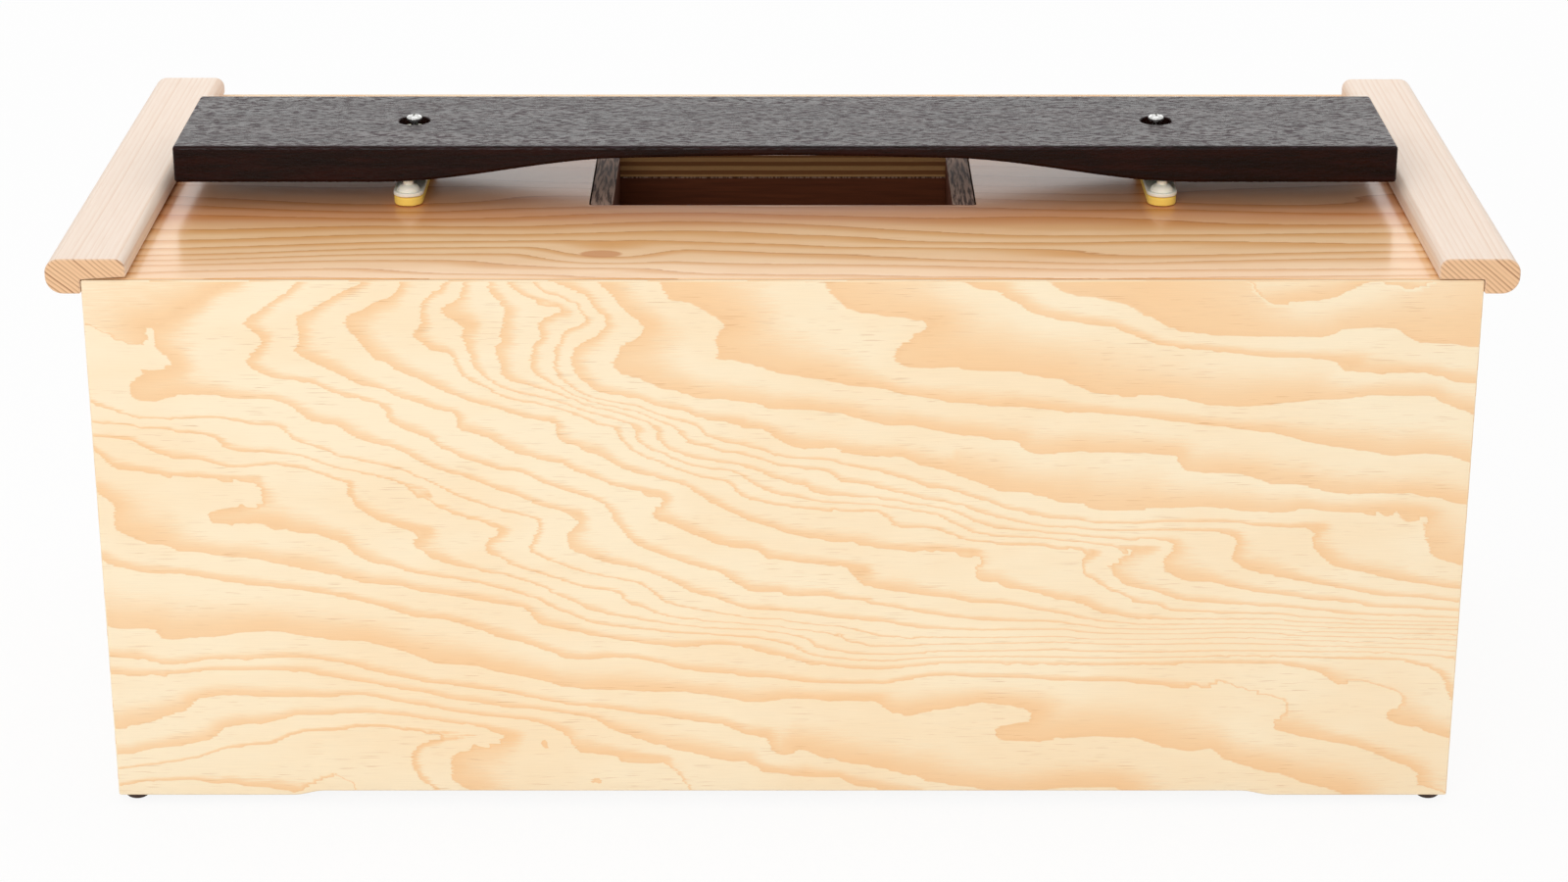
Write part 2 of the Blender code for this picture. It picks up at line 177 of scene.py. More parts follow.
def ringShade(tree, ring, jag, look, share=None):
    # each ring goes from pale early wood to orange late wood, then stops sharply
    phase = calc(tree, "FRACT", ring)
    if share is None:
        number = calc(tree, "FLOOR", ring)
        chance = addNode(tree, "TexWhiteNoise", {"W": number}, noise_dimensions="1D").outputs["Value"]
        start = remap(tree, chance, 0.0, 1.0, *look["lateFrom"])
    else:
        start = calc(tree, "MULTIPLY_ADD", share, -ringShape["lateReach"], ringShape["lateEnd"])
    start = calc(tree, "MULTIPLY_ADD", jag, look["ragged"], start)
    late = remap(tree, phase, start, look["lateFull"], 0.0, 1.0, True)
    beforeEdge = calc(tree, "SUBTRACT", 1.0, between(tree, phase, ringShape["edgeFrom"], 1.0, False))
    late = calc(tree, "MULTIPLY", late, beforeEdge)
    rim = calc(tree, "MULTIPLY", between(tree, phase, look["rimFrom"], ringShape["edgeFrom"]), beforeEdge)
    return late, rim


def carriedRings(tree, flat, jagX, look):
    # ring number and share of orange, as the mesh carries them
    jagZ = centred(tree, stretchedNoise(tree, flat, fibre["jagZ"], 3.0, 0.5))
    grain = addNode(tree, "Attribute", attribute_name="grain").outputs["Vector"]
    ring, slopeX, slopeZ = axes(tree, grain)
    ring = calc(tree, "MULTIPLY_ADD", slopeX, calc(tree, "MULTIPLY", jagX, look["jagAlong"]), ring)
    ring = calc(tree, "MULTIPLY_ADD", slopeZ, calc(tree, "MULTIPLY", jagZ, look["jagAcross"]), ring)
    return ring, addNode(tree, "Attribute", attribute_name="lateShare").outputs["Fac"]


def madeUpRings(tree, point, across, jagX, look):
    slow = stretchedNoise(tree, point, look["flow"], 2.5, 0.5, 0.4)
    ring = calc(tree, "MULTIPLY_ADD", slow, look["swing"], calc(tree, "MULTIPLY", across, look["rings"]))
    return calc(tree, "MULTIPLY_ADD", jagX, look["jag"], ring)


def knotAt(tree, along, across, ring, look):
    # a small knot, longer along the grain, with the rings bent round it
    knotX, knotY, size = look["knot"]
    gapX = calc(tree, "MULTIPLY", calc(tree, "SUBTRACT", along, knotX), look["knotShape"])
    gapY = calc(tree, "SUBTRACT", across, knotY)
    away = addNode(tree, "VectorMath", {0: joined(tree, gapX, gapY)}, operation="LENGTH").outputs["Value"]
    ring = calc(tree, "MULTIPLY_ADD", between(tree, away, 4 * size, 0.6 * size), look["knotBend"], ring)
    return ring, between(tree, away, size, 0.75 * size)


def veneer(name, look, order, carried=False):
    # look: colours and sizes of one veneer; order: along, across and through the board
    made, tree, shader, point = newMaterial(name)
    along, across, through = axes(tree, point, order)
    flat = joined(tree, along, across)
    jagX = centred(tree, stretchedNoise(tree, flat, fibre["jagX"], 3.0, 0.6))
    share = knot = None
    if carried:
        ring, share = carriedRings(tree, flat, jagX, look)
    else:
        ring = madeUpRings(tree, point, across, jagX, look)
    if "knot" in look:
        ring, knot = knotAt(tree, along, across, ring, look)
    late, rim = ringShade(tree, ring, jagX, look, share)
    cloud = stretchedNoise(tree, point, look["cloud"], 3.0, 0.55)
    late = calc(tree, "MULTIPLY", late, remap(tree, cloud, 0.3, 0.7, *look["lateDepth"]))
    colour = blendColour(tree, between(tree, cloud, 0.35, 0.65), look["pale"], look["pale2"])
    colour = blendColour(tree, late, colour, look["late"])
    colour = blendColour(tree, calc(tree, "MULTIPLY", rim, look["rimDepth"]), colour, look["rim"])
    if knot:
        knot = calc(tree, "MULTIPLY", knot, look["knotDepth"])
        colour = blendColour(tree, knot, colour, look["knotColour"])
    if "barShade" in look:
        # painted shade: the middle of the board, under and round the bar, made darker and redder for the
        # bar's shadow and dark reflection
        inside = between(tree, calc(tree, "ABSOLUTE", across), look["barShadeFrom"], look["barShadeFull"])
        colour = blendColour(tree, inside, colour, look["barShade"], "MULTIPLY")
    streak = stretchedNoise(tree, flat, fibre["streak"], 3.0, 0.6)
    shade = remap(tree, streak, 0.25, 0.75, 1 - look["streak"], 1 + look["streak"])
    colour = blendColour(tree, 1.0, colour, joined(tree, shade, shade, shade), "MULTIPLY")
    dash = stretchedNoise(tree, flat, fibre["pore"], 1.0, 0.4)
    where = stretchedNoise(tree, flat, fibre["poreArea"])
    pore = calc(tree, "MULTIPLY", between(tree, dash, 0.65, 0.74), between(tree, where, 0.38, 0.6))
    colour = blendColour(tree, calc(tree, "MULTIPLY", pore, look["poreDepth"]), colour, look["pore"])
    # plies show wherever the surface does not face through the board
    onFace = between(tree, facing(tree, order[2]), 0.35, 0.6)
    colour = blendColour(tree, onFace, pliesColour(tree, point, through, look), colour)
    rough = remap(tree, streak, 0.0, 1.0, look["rough"] - roughSwing, look["rough"] + roughSwing)
    setShader(tree, shader, colour=colour, rough=rough, ior=look["ior"])
    if look["coat"]:
        setShader(tree, shader, specular=0.1, coat=look["coat"])
        setShader(tree, shader, coatRough=look["coatRough"], coatIor=look["ior"])
    height = calc(tree, "MULTIPLY_ADD", pore, -1.0, calc(tree, "MULTIPLY", streak, 0.5))
    setBump(tree, shader, height, look["bump"])
    return made


def pliesColour(tree, point, through, look):
    # plies turn about, light and dark
    depth = calc(tree, "MULTIPLY", calc(tree, "SUBTRACT", through, look["plyFrom"]), 1 / look["ply"])
    wobble = centred(tree, noiseAt(tree, point, 60.0), 0.12)
    turn = between(tree, calc(tree, "PINGPONG", calc(tree, "ADD", depth, wobble), 1.0), 0.46, 0.54)
    fine = stretchedNoise(tree, point, fibre["plyFine"], 2.0, 0.6)
    colour = blendColour(tree, turn, look["plyLight"], look["plyDark"])
    return blendColour(tree, calc(tree, "MULTIPLY", fine, 0.4), colour, look["plyDark"])


frontLook = {
    "pale": srgb(252, 234, 202), "pale2": srgb(251, 228, 192),
    "late": srgb(248, 206, 157), "rim": srgb(230, 172, 116),
    "lateFrom": (0.25, 0.6), "lateFull": 0.93, "lateDepth": (0.8, 1.0),
    "ragged": 0.55, "rimFrom": 0.9, "rimDepth": 0.12,
    "jagAlong": 7 * mm, "jagAcross": 1.5 * mm, "cloud": (9, 9, 22), "streak": 0.03,
    "pore": srgb(206, 146, 92), "poreDepth": 0.6,
    "plyFrom": -0.1663, "ply": 2.4 * mm, "plyLight": srgb(240, 214, 176), "plyDark": srgb(205, 165, 120),
    "rough": 0.42, "ior": 1.4, "coat": 0.0, "bump": 0.02 * mm,
}
backLook = frontLook | {"flow": (3.2, 1.0, 9.0), "swing": 9.0, "rings": 46.0, "jag": 0.12}
sideLook = frontLook | {"flow": (1.0, 3.2, 9.0), "swing": 8.0, "rings": 52.0, "jag": 0.12, "plyFrom": 0.328}
baseLook = backLook | {"plyFrom": 0.007, "flow": (3.2, 9.0, 1.0)}
topLook = frontLook | {
    "pale": srgb(250, 210, 164), "pale2": srgb(244, 198, 148),
    "late": srgb(228, 166, 98), "rim": srgb(186, 126, 76),
    "flow": (1.5, 8.0, 1.0), "swing": 9.0, "rings": 70.0, "jag": 0.2,
    "poreDepth": 0.3, "streak": 0.05, "rimDepth": 0.5, "cloud": (7, 20, 20),
    # the top's plies are darker than the front's: partly the plies' own colour, partly painted shade for the
    # port's edge under the bar
    "plyFrom": 0.270, "plyLight": srgb(218, 168, 112), "plyDark": srgb(150, 98, 58),
    "rough": 0.5, "ior": 1.25, "coat": 1.0, "coatRough": 0.18,
    "knot": (-0.09, -0.125, 0.0065), "knotColour": srgb(214, 148, 92),
    "knotShape": 0.55, "knotBend": 0.9, "knotDepth": 0.85,
    # painted shade under and round the bar: its colour, where it starts and where it is full
    "barShade": srgb(226, 196, 180), "barShadeFrom": 95 * mm, "barShadeFull": 58 * mm,
}

frontWood = veneer("frontPine", frontLook, "XZY", carried=True)
backWood = veneer("backPine", backLook, "XZY")
sideWood = veneer("sidePine", sideLook, "YZX")
topWood = veneer("lacqueredTop", topLook, "XYZ")
baseWood = veneer("basePine", baseLook, "XYZ")

railLook = {
    "pale": srgb(247, 227, 209), "line": srgb(226, 190, 160),
    "end": srgb(238, 194, 151), "endLine": srgb(146, 92, 56),
    "rings": 330.0, "tilt": 1.2, "drift": 12 * mm, "driftSize": (14, 1.6, 14), "strength": 190.0,
    "fine": (1500, 40, 1500), "bump": 0.02 * mm,
}


def railPine(name):
    # straight grain along the rail, ring lines across its end
    made, tree, shader, point = newMaterial(name)
    x, z = axes(tree, point, "XZ")
    drift = centred(tree, stretchedNoise(tree, point, railLook["driftSize"]), railLook["drift"])
    across = calc(tree, "ADD", calc(tree, "MULTIPLY_ADD", z, railLook["tilt"], x), drift)
    phase = calc(tree, "FRACT", calc(tree, "MULTIPLY", across, railLook["rings"]))
    stop = between(tree, calc(tree, "SUBTRACT", 1.0, phase), 0.0, 0.06)
    line = calc(tree, "MULTIPLY", between(tree, phase, 0.35, 0.9), stop)
    strength = noiseAt(tree, joined(tree, calc(tree, "MULTIPLY", across, railLook["strength"]), 0.0))
    line = calc(tree, "MULTIPLY", line, between(tree, strength, 0.3, 0.7))
    fine = stretchedNoise(tree, point, railLook["fine"], 2.0, 0.6)
    face = blendColour(tree, calc(tree, "MULTIPLY", line, 0.6), railLook["pale"], railLook["line"])
    faint = calc(tree, "MULTIPLY", between(tree, fine, 0.4, 0.8), 0.3)
    face = blendColour(tree, faint, face, railLook["line"])
    end = blendColour(tree, calc(tree, "MULTIPLY", line, 0.9), railLook["end"], railLook["endLine"])
    endOn = between(tree, facing(tree, "Y"), 0.5, 0.8)
    setShader(tree, shader, colour=blendColour(tree, endOn, face, end), rough=0.45, ior=1.4)
    setBump(tree, shader, fine, railLook["bump"])
    return made


railWood = {"left": railPine("railPineLeft"), "right": railPine("railPineRight")}

ductLook = {
    "face": srgb(136, 72, 40), "faceLine": srgb(76, 35, 19),
    "end": srgb(190, 156, 136), "endLine": srgb(80, 54, 44),
    "boardMiddle": 94 * mm, "bump": 0.05 * mm,
}


def ductPine():
    # long grain on the faces, and lines that run along the boards' upper ends
    made, tree, shader, point = newMaterial("ductPine")
    x, y = axes(tree, point, "XY")
    lines = stretchedNoise(tree, point, (30, 30, 700), 3.0, 0.6)
    face = blendColour(tree, lines, ductLook["face"], ductLook["faceLine"])
    vee = calc(tree, "ABSOLUTE", calc(tree, "SUBTRACT", calc(tree, "ABSOLUTE", x), ductLook["boardMiddle"]))
    vee = calc(tree, "MULTIPLY_ADD", vee, 300.0, calc(tree, "MULTIPLY", y, 55.0))
    streak = noiseAt(tree, joined(tree, vee, calc(tree, "MULTIPLY", x, 650.0)), 1.0, 3.0, 0.6)
    end = blendColour(tree, between(tree, streak, 0.42, 0.58), ductLook["end"], ductLook["endLine"])
    endOn = between(tree, facing(tree, "Z"), 0.5, 0.8)
    setShader(tree, shader, colour=blendColour(tree, endOn, face, end), rough=0.7, specular=0.2)
    setBump(tree, shader, lines, ductLook["bump"])
    return made


ductWood = ductPine()

barLook = {
    # the lightest colour here is a painted sheen, laid only on the bar's upward face
    "dark": srgb(20, 5, 3), "red": srgb(36, 9, 5), "pore": srgb(10, 4, 3), "paintedSheen": srgb(66, 52, 58),
    "wave": 20 * mm, "waveSize": (6, 30, 30), "poreSize": (70, 1700, 1700), "toneSize": (20, 240, 240),
    "dustAndSheenSize": (200, 850, 850), "rippleSize": (230, 900, 900), "rough": (0.14, 0.6), "bump": 0.2 * mm,
}


def stainedHardwood():
    made, tree, shader, point = newMaterial("stainedHardwood")
    x, y, z = axes(tree, point)
    wave = centred(tree, stretchedNoise(tree, point, barLook["waveSize"]), barLook["wave"])
    bent = joined(tree, x, calc(tree, "ADD", y, wave), z)
    pore = between(tree, stretchedNoise(tree, bent, barLook["poreSize"], 2.0, 0.6), 0.55, 0.68)
    tone = stretchedNoise(tree, bent, barLook["toneSize"], 3.0, 0.6)
    dustAndSheen = stretchedNoise(tree, bent, barLook["dustAndSheenSize"], 3.0, 0.6)
    ripple = stretchedNoise(tree, bent, barLook["rippleSize"], 3.0, 0.6)
    colour = blendColour(tree, between(tree, tone, 0.3, 0.7), barLook["dark"], barLook["red"])
    colour = blendColour(tree, calc(tree, "MULTIPLY", pore, 0.8), colour, barLook["pore"])
    # painted sheen: lighter grey flecks on the upward (struck) face stand in for the shine of its open grain;
    # the same noise also sets the roughness
    normal = addNode(tree, "TexCoord").outputs["Normal"]
    upward = between(tree, axes(tree, normal)[2], 0.5, 0.9)
    sheenOnTop = calc(tree, "MULTIPLY", upward, between(tree, dustAndSheen, 0.5, 0.68))
    colour = blendColour(tree, sheenOnTop, colour, barLook["paintedSheen"])
    rough = remap(tree, between(tree, dustAndSheen, 0.44, 0.62), 0.0, 1.0, *barLook["rough"])
    setShader(tree, shader, colour=colour, rough=rough, ior=1.3, specular=0.3)
    setBump(tree, shader, calc(tree, "MULTIPLY_ADD", pore, -0.06, ripple), barLook["bump"])
    return made


barWood = stainedHardwood()


def plainMaterial(name, look):
    # one colour with fine specks of a second
    made, tree, shader, point = newMaterial(name)
    speck = noiseAt(tree, point, look["specks"], 3.0, 0.6)
    colour = blendColour(tree, speck, *look["colours"])
    setShader(tree, shader, colour=colour, rough=look["rough"], metallic=look.get("metallic", 0.0))
    if "glowThrough" in look:
        shader.inputs["Subsurface Weight"].default_value = look["glowThrough"]
        shader.inputs["Subsurface Radius"].default_value = (1, 0.8, 0.5)
        shader.inputs["Subsurface Scale"].default_value = 2 * mm
    setBump(tree, shader, speck, look["bump"])
    return made


mouldingLook = {
    "colours": (srgb(250, 246, 230), srgb(240, 234, 216)), "rough": 0.6, "specks": 900, "bump": 0.01 * mm,
    "glowThrough": 0.2,
}
feltLook = {
    "colours": (srgb(255, 226, 118), srgb(252, 206, 84)), "rough": 0.95, "specks": 1800, "bump": 0.1 * mm,
    "cell": 0.5 * mm, "soften": 3, "inset": 0.09 * mm, "uneven": 0.05 * mm, "lumps": 260, "fuzz": 900,
}
zincLook = {
    "colours": (srgb(215, 215, 212), srgb(190, 190, 188)), "rough": 0.22, "specks": 1200, "bump": 0.01 * mm,
    "metallic": 1.0,
}
rubberLook = {
    "colours": (srgb(64, 42, 32), srgb(50, 32, 25)), "rough": 0.7, "specks": 1500, "bump": 0.03 * mm,
}

whiteMoulding = plainMaterial("whiteMoulding", mouldingLook)
feltYellow = plainMaterial("yellowFelt", feltLook)
zinc = plainMaterial("zincSteel", zincLook)
brownRubber = plainMaterial("brownRubber", rubberLook)
print("materials:", len(bpy.data.materials))


def dress(nodeName, material):
    obj = nodes[nodeName]
    obj.data.materials.clear()
    obj.data.materials.append(material)


# growth rings of the front veneer, in millimetres from the middle and the floor:
# x, z, x, z ... along the sharp lower left edge of each ring's orange late wood, outermost ring first
frontRings = {
    5: [253, 271.5, 265, 272.4, 271, 274.5, 281, 280, 286, 282],
    6: [127, 282, 131, 278.7, 134, 276, 140, 273.8, 155, 271.3, 162, 270.3, 169, 268, 176, 263, 187, 258,
      190, 256, 200, 254, 233, 252.7, 263, 252.7, 270, 254.3, 273, 257, 291, 258, 298, 257.3, 303, 255.3,
      300, 253, 310, 250, 325, 249, 340, 247],
    7: [85, 282, 91, 279, 98, 277.3, 106, 276.2, 108, 273, 114, 271.3, 118, 268, 122, 265.2, 130, 263.3,
      151, 259.6, 160, 258.5, 173, 253.5, 183, 249.4, 200, 247.3, 223, 245.2, 230, 243.6, 263, 241.7,
      280, 239, 278, 236.7, 273, 234.5, 276, 233, 301, 234, 317, 233.8, 328, 229.7, 340, 228.7],
    8: [20, 282, 22, 276, 26, 272, 30, 268.5, 36, 265.7, 50, 263.6, 69, 262.4, 74, 260, 69, 257, 64, 254.5,
      62, 251, 57, 249, 54, 246, 53.5, 242, 55, 238.5, 60, 236.7, 69, 235.6, 87, 237, 90, 235.3, 100, 234.6,
      115, 234.6, 121, 232.5, 137, 230.6, 141, 228, 151, 224, 167, 221.3, 184, 222.2, 200, 219.6, 207, 217.5,
      223, 215.7, 240, 217.5, 260, 220, 278, 221.2, 287, 223, 319, 222.8, 329, 217, 340, 212.7],
    9: [-61, 282, -60, 278, -57.6, 274.5, -55, 272, -47, 270.3, -40, 267.5, -35, 264.3, -24, 260.3,
      -30, 257.3, -33, 254, -34, 250, -31, 245, -35, 242, -32, 240, -24, 240.2, -10, 236.7, -1, 233.4,
      10, 232, 30, 228, 50, 226, 61, 223, 76, 220.4, 83, 218.6, 97, 218, 100, 216.6, 120, 216.6, 140, 213.8,
      153, 214, 170, 212.2, 190, 209.6, 210, 206.8, 219, 206.5, 233, 204, 241, 203.8, 246, 201.7, 263, 197,
      287, 193.3, 301, 190.3, 320, 192, 329, 191, 340, 186.3],
    10: [-91.4, 282, -86, 277.3, -82, 272.7, -79.6, 268, -75, 265, -64.6, 260, -68, 257.3, -70, 253.5,
      -75, 250.7, -79.5, 249.3, -81, 244.7, -84, 239.5, -83.5, 236.7, -79.6, 234, -70, 231, -62.6, 227,
      -59.6, 225.4, -50, 224.2, -42, 220.6, -30, 220.3, -11, 217.6, -7, 215.7, 10, 215.5, 30, 213, 40, 210,
      51, 206.7, 64, 207, 77, 204, 87, 202, 100, 201, 103, 199.4, 116, 199, 118, 194.7, 122, 192, 131, 191.5,
      147, 193.6, 153, 192.4, 181, 192.5, 194, 191, 195.5, 187, 199, 182.4, 223, 181.3, 231, 180, 242, 175.7,
      255, 175.7, 271, 170.7, 281, 169.8, 292, 170.7, 310, 170, 340, 164.3],
    11: [-113.5, 282, -106, 278.8, -100, 276, -95, 274.3, -94, 271, -89.6, 265.2, -86, 263.3, -86, 259.6,
      -89.6, 255, -97, 251.2, -102.6, 247.5, -103.6, 239.5, -101.2, 233.4, -99.8, 231.1, -95.2, 227.8,
      -92.4, 225, -84.9, 222.7, -76.5, 221.3, -69.9, 220.2, -61.6, 216.6, -52, 215.2, -48.3, 214.3,
      -42.7, 211.5, -37, 209.6, -20.2, 208.2, -22.1, 207.3, -20.2, 205.4, -9, 205, -5.3, 201.7, 0.3, 197.5,
      7.8, 193.8, 19, 194, 32, 191.9, 42.4, 190.2, 59, 190, 67, 186, 79.6, 183, 90, 178.8, 100, 174.7,
      108.5, 171.6, 121, 171.2, 131, 168.5, 135.4, 165.8, 148.8, 165.4, 151, 162.3, 164, 160.9, 187, 162.3,
      210, 163.3, 226, 161.3, 249, 159.6, 259, 162.3, 278, 160.9, 305, 161.7, 318, 160.9, 321, 159.2,
      315, 156.1, 298.6, 155.7, 292.5, 155, 291.4, 153, 298.6, 148.9, 309, 146.4, 325.5, 144.7, 321.4, 140.6,
      325.5, 135.4, 340, 131.3],
    12: [-122, 282, -119.6, 279.2, -114.9, 275, -107.9, 274.1, -104.2, 270.8, -100, 269.4, -98.5, 263.9,
      -94.8, 262, -95.9, 260.1, -100, 258.3, -106.5, 256.4, -107.6, 253.2, -109.2, 248.9, -112.4, 246.8,
      -110.3, 245.2, -111.6, 239.9, -111.9, 235.6, -108.4, 231, -104, 227, -98.4, 223.4, -92, 220.6, -84, 219,
      -77.6, 217.8, -72, 217, -66.8, 215, -60.7, 212.2, -52.3, 209.4, -41, 206.8, -40, 203.8, -41, 201.3,
      -34.5, 199.7, -28, 197.3, -20, 196.6, -15, 194.2, -7, 192.6, -4.7, 189.8, 10, 189.3, 24.5, 188.4,
      29, 186.3, 38, 184.5, 48, 182.3, 55.3, 179.7, 62.7, 177.7, 70.7, 174.3, 80, 173.3, 90.7, 169.7,
      104, 165.7, 114.4, 161.6, 121, 159.7, 132, 156.9, 148, 156.7, 154.6, 154.1, 171, 153.8, 190.7, 155.1,
      220.5, 155.4, 235.5, 153.6, 268, 153, 264.5, 149.9, 259, 144.7, 259, 142.7, 267, 139.6, 267.6, 136.5,
      275, 131, 290, 127.8, 306, 124, 323, 121.3, 340, 119.1],
    13: [-134, 282, -132.2, 278.7, -127, 275, -121.5, 272.7, -112.4, 271.1, -106, 268.9, -103, 266.9,
      -110.3, 264.9, -117.7, 261.7, -119.3, 259.6, -117, 251.5, -120.9, 250, -122, 244.7, -123.6, 237.2,
      -120.4, 232.9, -114.9, 229.7, -109.3, 226.5, -104, 223.6, -97, 220.4, -88, 217.8, -80, 216, -72, 214,
      -68.6, 212.7, -61.6, 209.2, -54.6, 207.3, -52, 204.5, -50, 203.3, -53.2, 199.8, -45.7, 197.5,
      -37.8, 196.3, -34, 194.5, -30, 192.4, -22.4, 192.3, -16, 190.3, -7.5, 187.9, 0, 185.8, 8.7, 184.4,
      20, 183.4, 24.5, 181, 28.7, 177.2, 36.7, 176.2, 48, 173.7, 60, 170.2, 73, 167, 84, 165, 96, 161.3,
      109, 157.3, 120, 154.7, 130, 152.7, 147, 151.8, 162, 150.7, 190, 151.3, 216, 151.1, 226, 150.4,
      227, 145.3, 223.2, 135.7, 231, 129.3, 248, 125.5, 265, 122, 278, 119.9, 290, 117.5, 300.5, 115.2,
      320, 114.3, 340, 111.7],
    14: [-143, 282, -142.3, 279.3, -143.9, 277.2, -138, 274.5, -136, 269.2, -133.7, 266.5, -136.9, 261.7,
      -136, 259.6, -138.5, 254.3, -136, 251.6, -140.9, 247.9, -140, 243.6, -137.5, 237.7, -139.6, 234,
      -133, 229.7, -124.7, 228, -118.8, 226, -109.7, 223, -100.7, 219.3, -90, 215.9, -80, 213.4, -75.6, 211.8,
      -66.3, 208, -61, 205.7, -63.7, 200.5, -59.3, 196.8, -54.6, 193.1, -45.7, 189.8, -37.8, 188.2,
      -30, 186.8, -20, 185.1, -11.7, 182.8, -7, 180.2, 0, 177.7, 5, 175.6, 10.3, 175.6, 12.4, 172.9,
      16, 170.4, 30, 169.2, 39, 167.3, 50, 167.1, 56, 166.4, 62.7, 164.9, 73, 163.8, 84.5, 161.5, 94.8, 156,
      106, 151.8, 120, 150.4, 139, 149, 157, 147.1, 174, 145.2, 186, 145.8, 195, 145.3, 196, 142.6,
      190.7, 137.3, 189, 134.6, 191, 128.2, 201, 123.1, 216, 122.6, 231, 118.6, 255, 115.2, 268.5, 112.7,
      287, 112, 297, 109.2, 319, 108.5, 340, 106.9],
    15: [-154, 282, -155.6, 277.2, -160, 271.3, -164.7, 270, -167.3, 266.5, -163.6, 262.8, -154.5, 260.7,
      -151.3, 259.1, -157, 256.4, -156.7, 252.1, -153, 250, -156, 246.5, -152, 243, -153, 240.4,
      -150.3, 235.6, -146, 232.4, -141.7, 228.7, -136, 225.7, -127.3, 223.3, -116.7, 221, -108.7, 218.5,
      -100, 215.3, -90, 211.8, -80, 209.2, -74, 207.4, -69, 205.3, -75, 203.3, -71.6, 199, -71.6, 196.6,
      -64.4, 193.6, -56, 190.6, -50, 187.6, -46, 186, -37, 184, -28, 183.2, -21, 181.2, -18, 178.6,
      -14, 175.3, -7.5, 172.1, -2.3, 169.7, 4, 169, 12, 167.6, 20, 166, 28, 165.7, 40, 165.2, 49, 164.3,
      63, 162.4, 77, 159.5, 81, 157, 86.4, 153.8, 96, 149.2, 106, 147.6, 125, 147, 139.6, 145.2, 157, 143.4,
      174, 142, 187, 141.5, 181, 140.6, 174, 140, 171, 137.8, 160, 133.3, 162, 130.3, 166, 124, 170.4, 120.8,
      177, 119.4, 189.6, 117, 195, 114.3, 202, 112.4, 223, 110.6, 249, 109, 272, 107.1, 286, 104.7,
      302, 104.2, 313, 103.9, 340, 102.8],
    16: [-163, 282, -166, 277.3, -174.5, 271.7, -174, 260.5, -182, 255.4, -175.5, 249.3, -171.7, 246,
      -160.5, 244.7, -159.5, 239, -155, 231.6, -149, 228.8, -144.6, 226.9, -139, 222.8, -132.5, 220.8,
      -120, 218.5, -112, 216.4, -105, 214, -100, 212.2, -95, 210.2, -92.8, 209, -87, 207, -80, 206,
      -80.6, 202.3, -79, 199, -76, 195.1, -69, 191.2, -62.6, 188.6, -57, 185.2, -50, 182.8, -44, 181,
      -34.5, 178.4, -28, 177.5, -25, 174.9, -22, 170.7, -16, 167.4, -9, 165.8, 0, 164.4, 16, 162.5, 37, 162.8,
      47, 161.6, 49, 160, 52.7, 158, 53.3, 153.7, 57, 152, 76.7, 151.4, 83.6, 149, 89, 146.4, 95, 145,
      115, 144.3, 140, 142.6, 149, 141.2, 158, 139.5, 151, 135.9, 141.5, 133.6, 129, 132.6, 124.7, 131,
      127.5, 128, 139.6, 127.5, 152.7, 125.2, 157.4, 123.6, 162, 119.9, 170, 116.6, 174, 113.8, 183.5, 111.2,
      190, 110.1, 191.7, 107.9, 196, 106.7, 217, 106, 248, 105.6, 261, 103.7, 278, 102.6, 287, 101.9,
      310, 101.3, 340, 100.8],
    17: [-184.8, 282, -185.7, 278.3, -191, 273.6, -198, 271.7, -204, 268, -212, 265.7, -214, 260, -209, 254,
      -205.5, 249.3, -201.8, 244.7, -200, 241.9, -194, 240, -188.5, 235.3, -182, 232.5, -172.7, 227.8,
      -165, 224.1, -150, 218.5, -141, 216.4, -130.6, 212.9, -121, 210.1, -112, 209.2, -111, 207.5,
      -114, 199.6, -107, 197, -98, 192.9, -90.5, 191, -79, 183.8, -70, 181.2, -60, 178.2, -50, 176, -44, 172,
      -38, 168, -30, 163, -20, 158, -10, 154, 0, 150, 12, 147, 22, 145, 30, 143.7, 48.6, 141, 70, 140.3,
      86, 140.6, 98, 139.6, 92, 135.4, 89, 132.3, 80.6, 129.2, 83.7, 126.1, 96, 124.5, 102, 122, 112.7, 120,
      127, 116.8, 137.5, 113.7, 148, 111.7, 154, 108.6, 162, 105.5, 172.6, 103.4, 179, 102.2, 201, 102,
      247, 102.2, 257, 100.8, 275, 100.4, 300, 99.8, 340, 98.8],
    18: [-203, 282, -205.5, 280, -218.6, 273, -231, 266.6, -238, 264.3, -236, 256.8, -236.4, 250.3,
      -241, 243.7, -234, 242, -228, 239, -220.5, 235.3, -215, 232.5, -209, 228.3, -200, 226.2, -187.6, 221.3,
      -177, 218.7, -168, 214.8, -161.5, 214.3, -159.6, 211, -160.5, 207.3, -159.6, 203.1, -154, 203.5,
      -144.6, 199.9, -137, 194.7, -130.6, 191.5, -118.5, 188.2, -109, 187.5, -105, 184, -93, 178.9,
      -82, 174.4, -71.6, 172.5, -60, 170.5, -58, 169.5, -64.6, 163, -65.5, 159.2, -63, 156, -57.6, 155,
      -50, 150.8, -40, 147.1, -31, 142.9, -24, 141.5, -14.6, 141.3, -11, 139.6, -9.5, 136.4, 0, 135,
      19, 132.8, 32, 131.7, 41.4, 129.8, 34, 126.6, 38.6, 122, 44, 119.4, 54.5, 118, 69.6, 115.4, 85.5, 114.5,
      94, 111.7, 110, 111.3, 125, 108.4, 141.5, 104.9, 150, 102.6, 165, 100.8, 180, 99.8, 225, 99.9,
      245, 99.6, 258, 98.4, 290, 97.6, 340, 96.6],
    19: [-235, 282, -241, 275, -246.6, 271.7, -258, 264.7, -265, 261, -259.7, 257.3, -252, 252, -256, 246.5,
      -261.6, 241, -263.4, 238, -257.8, 236, -252, 232.7, -245.7, 231, -230, 229.5, -222, 225, -209, 221.8,
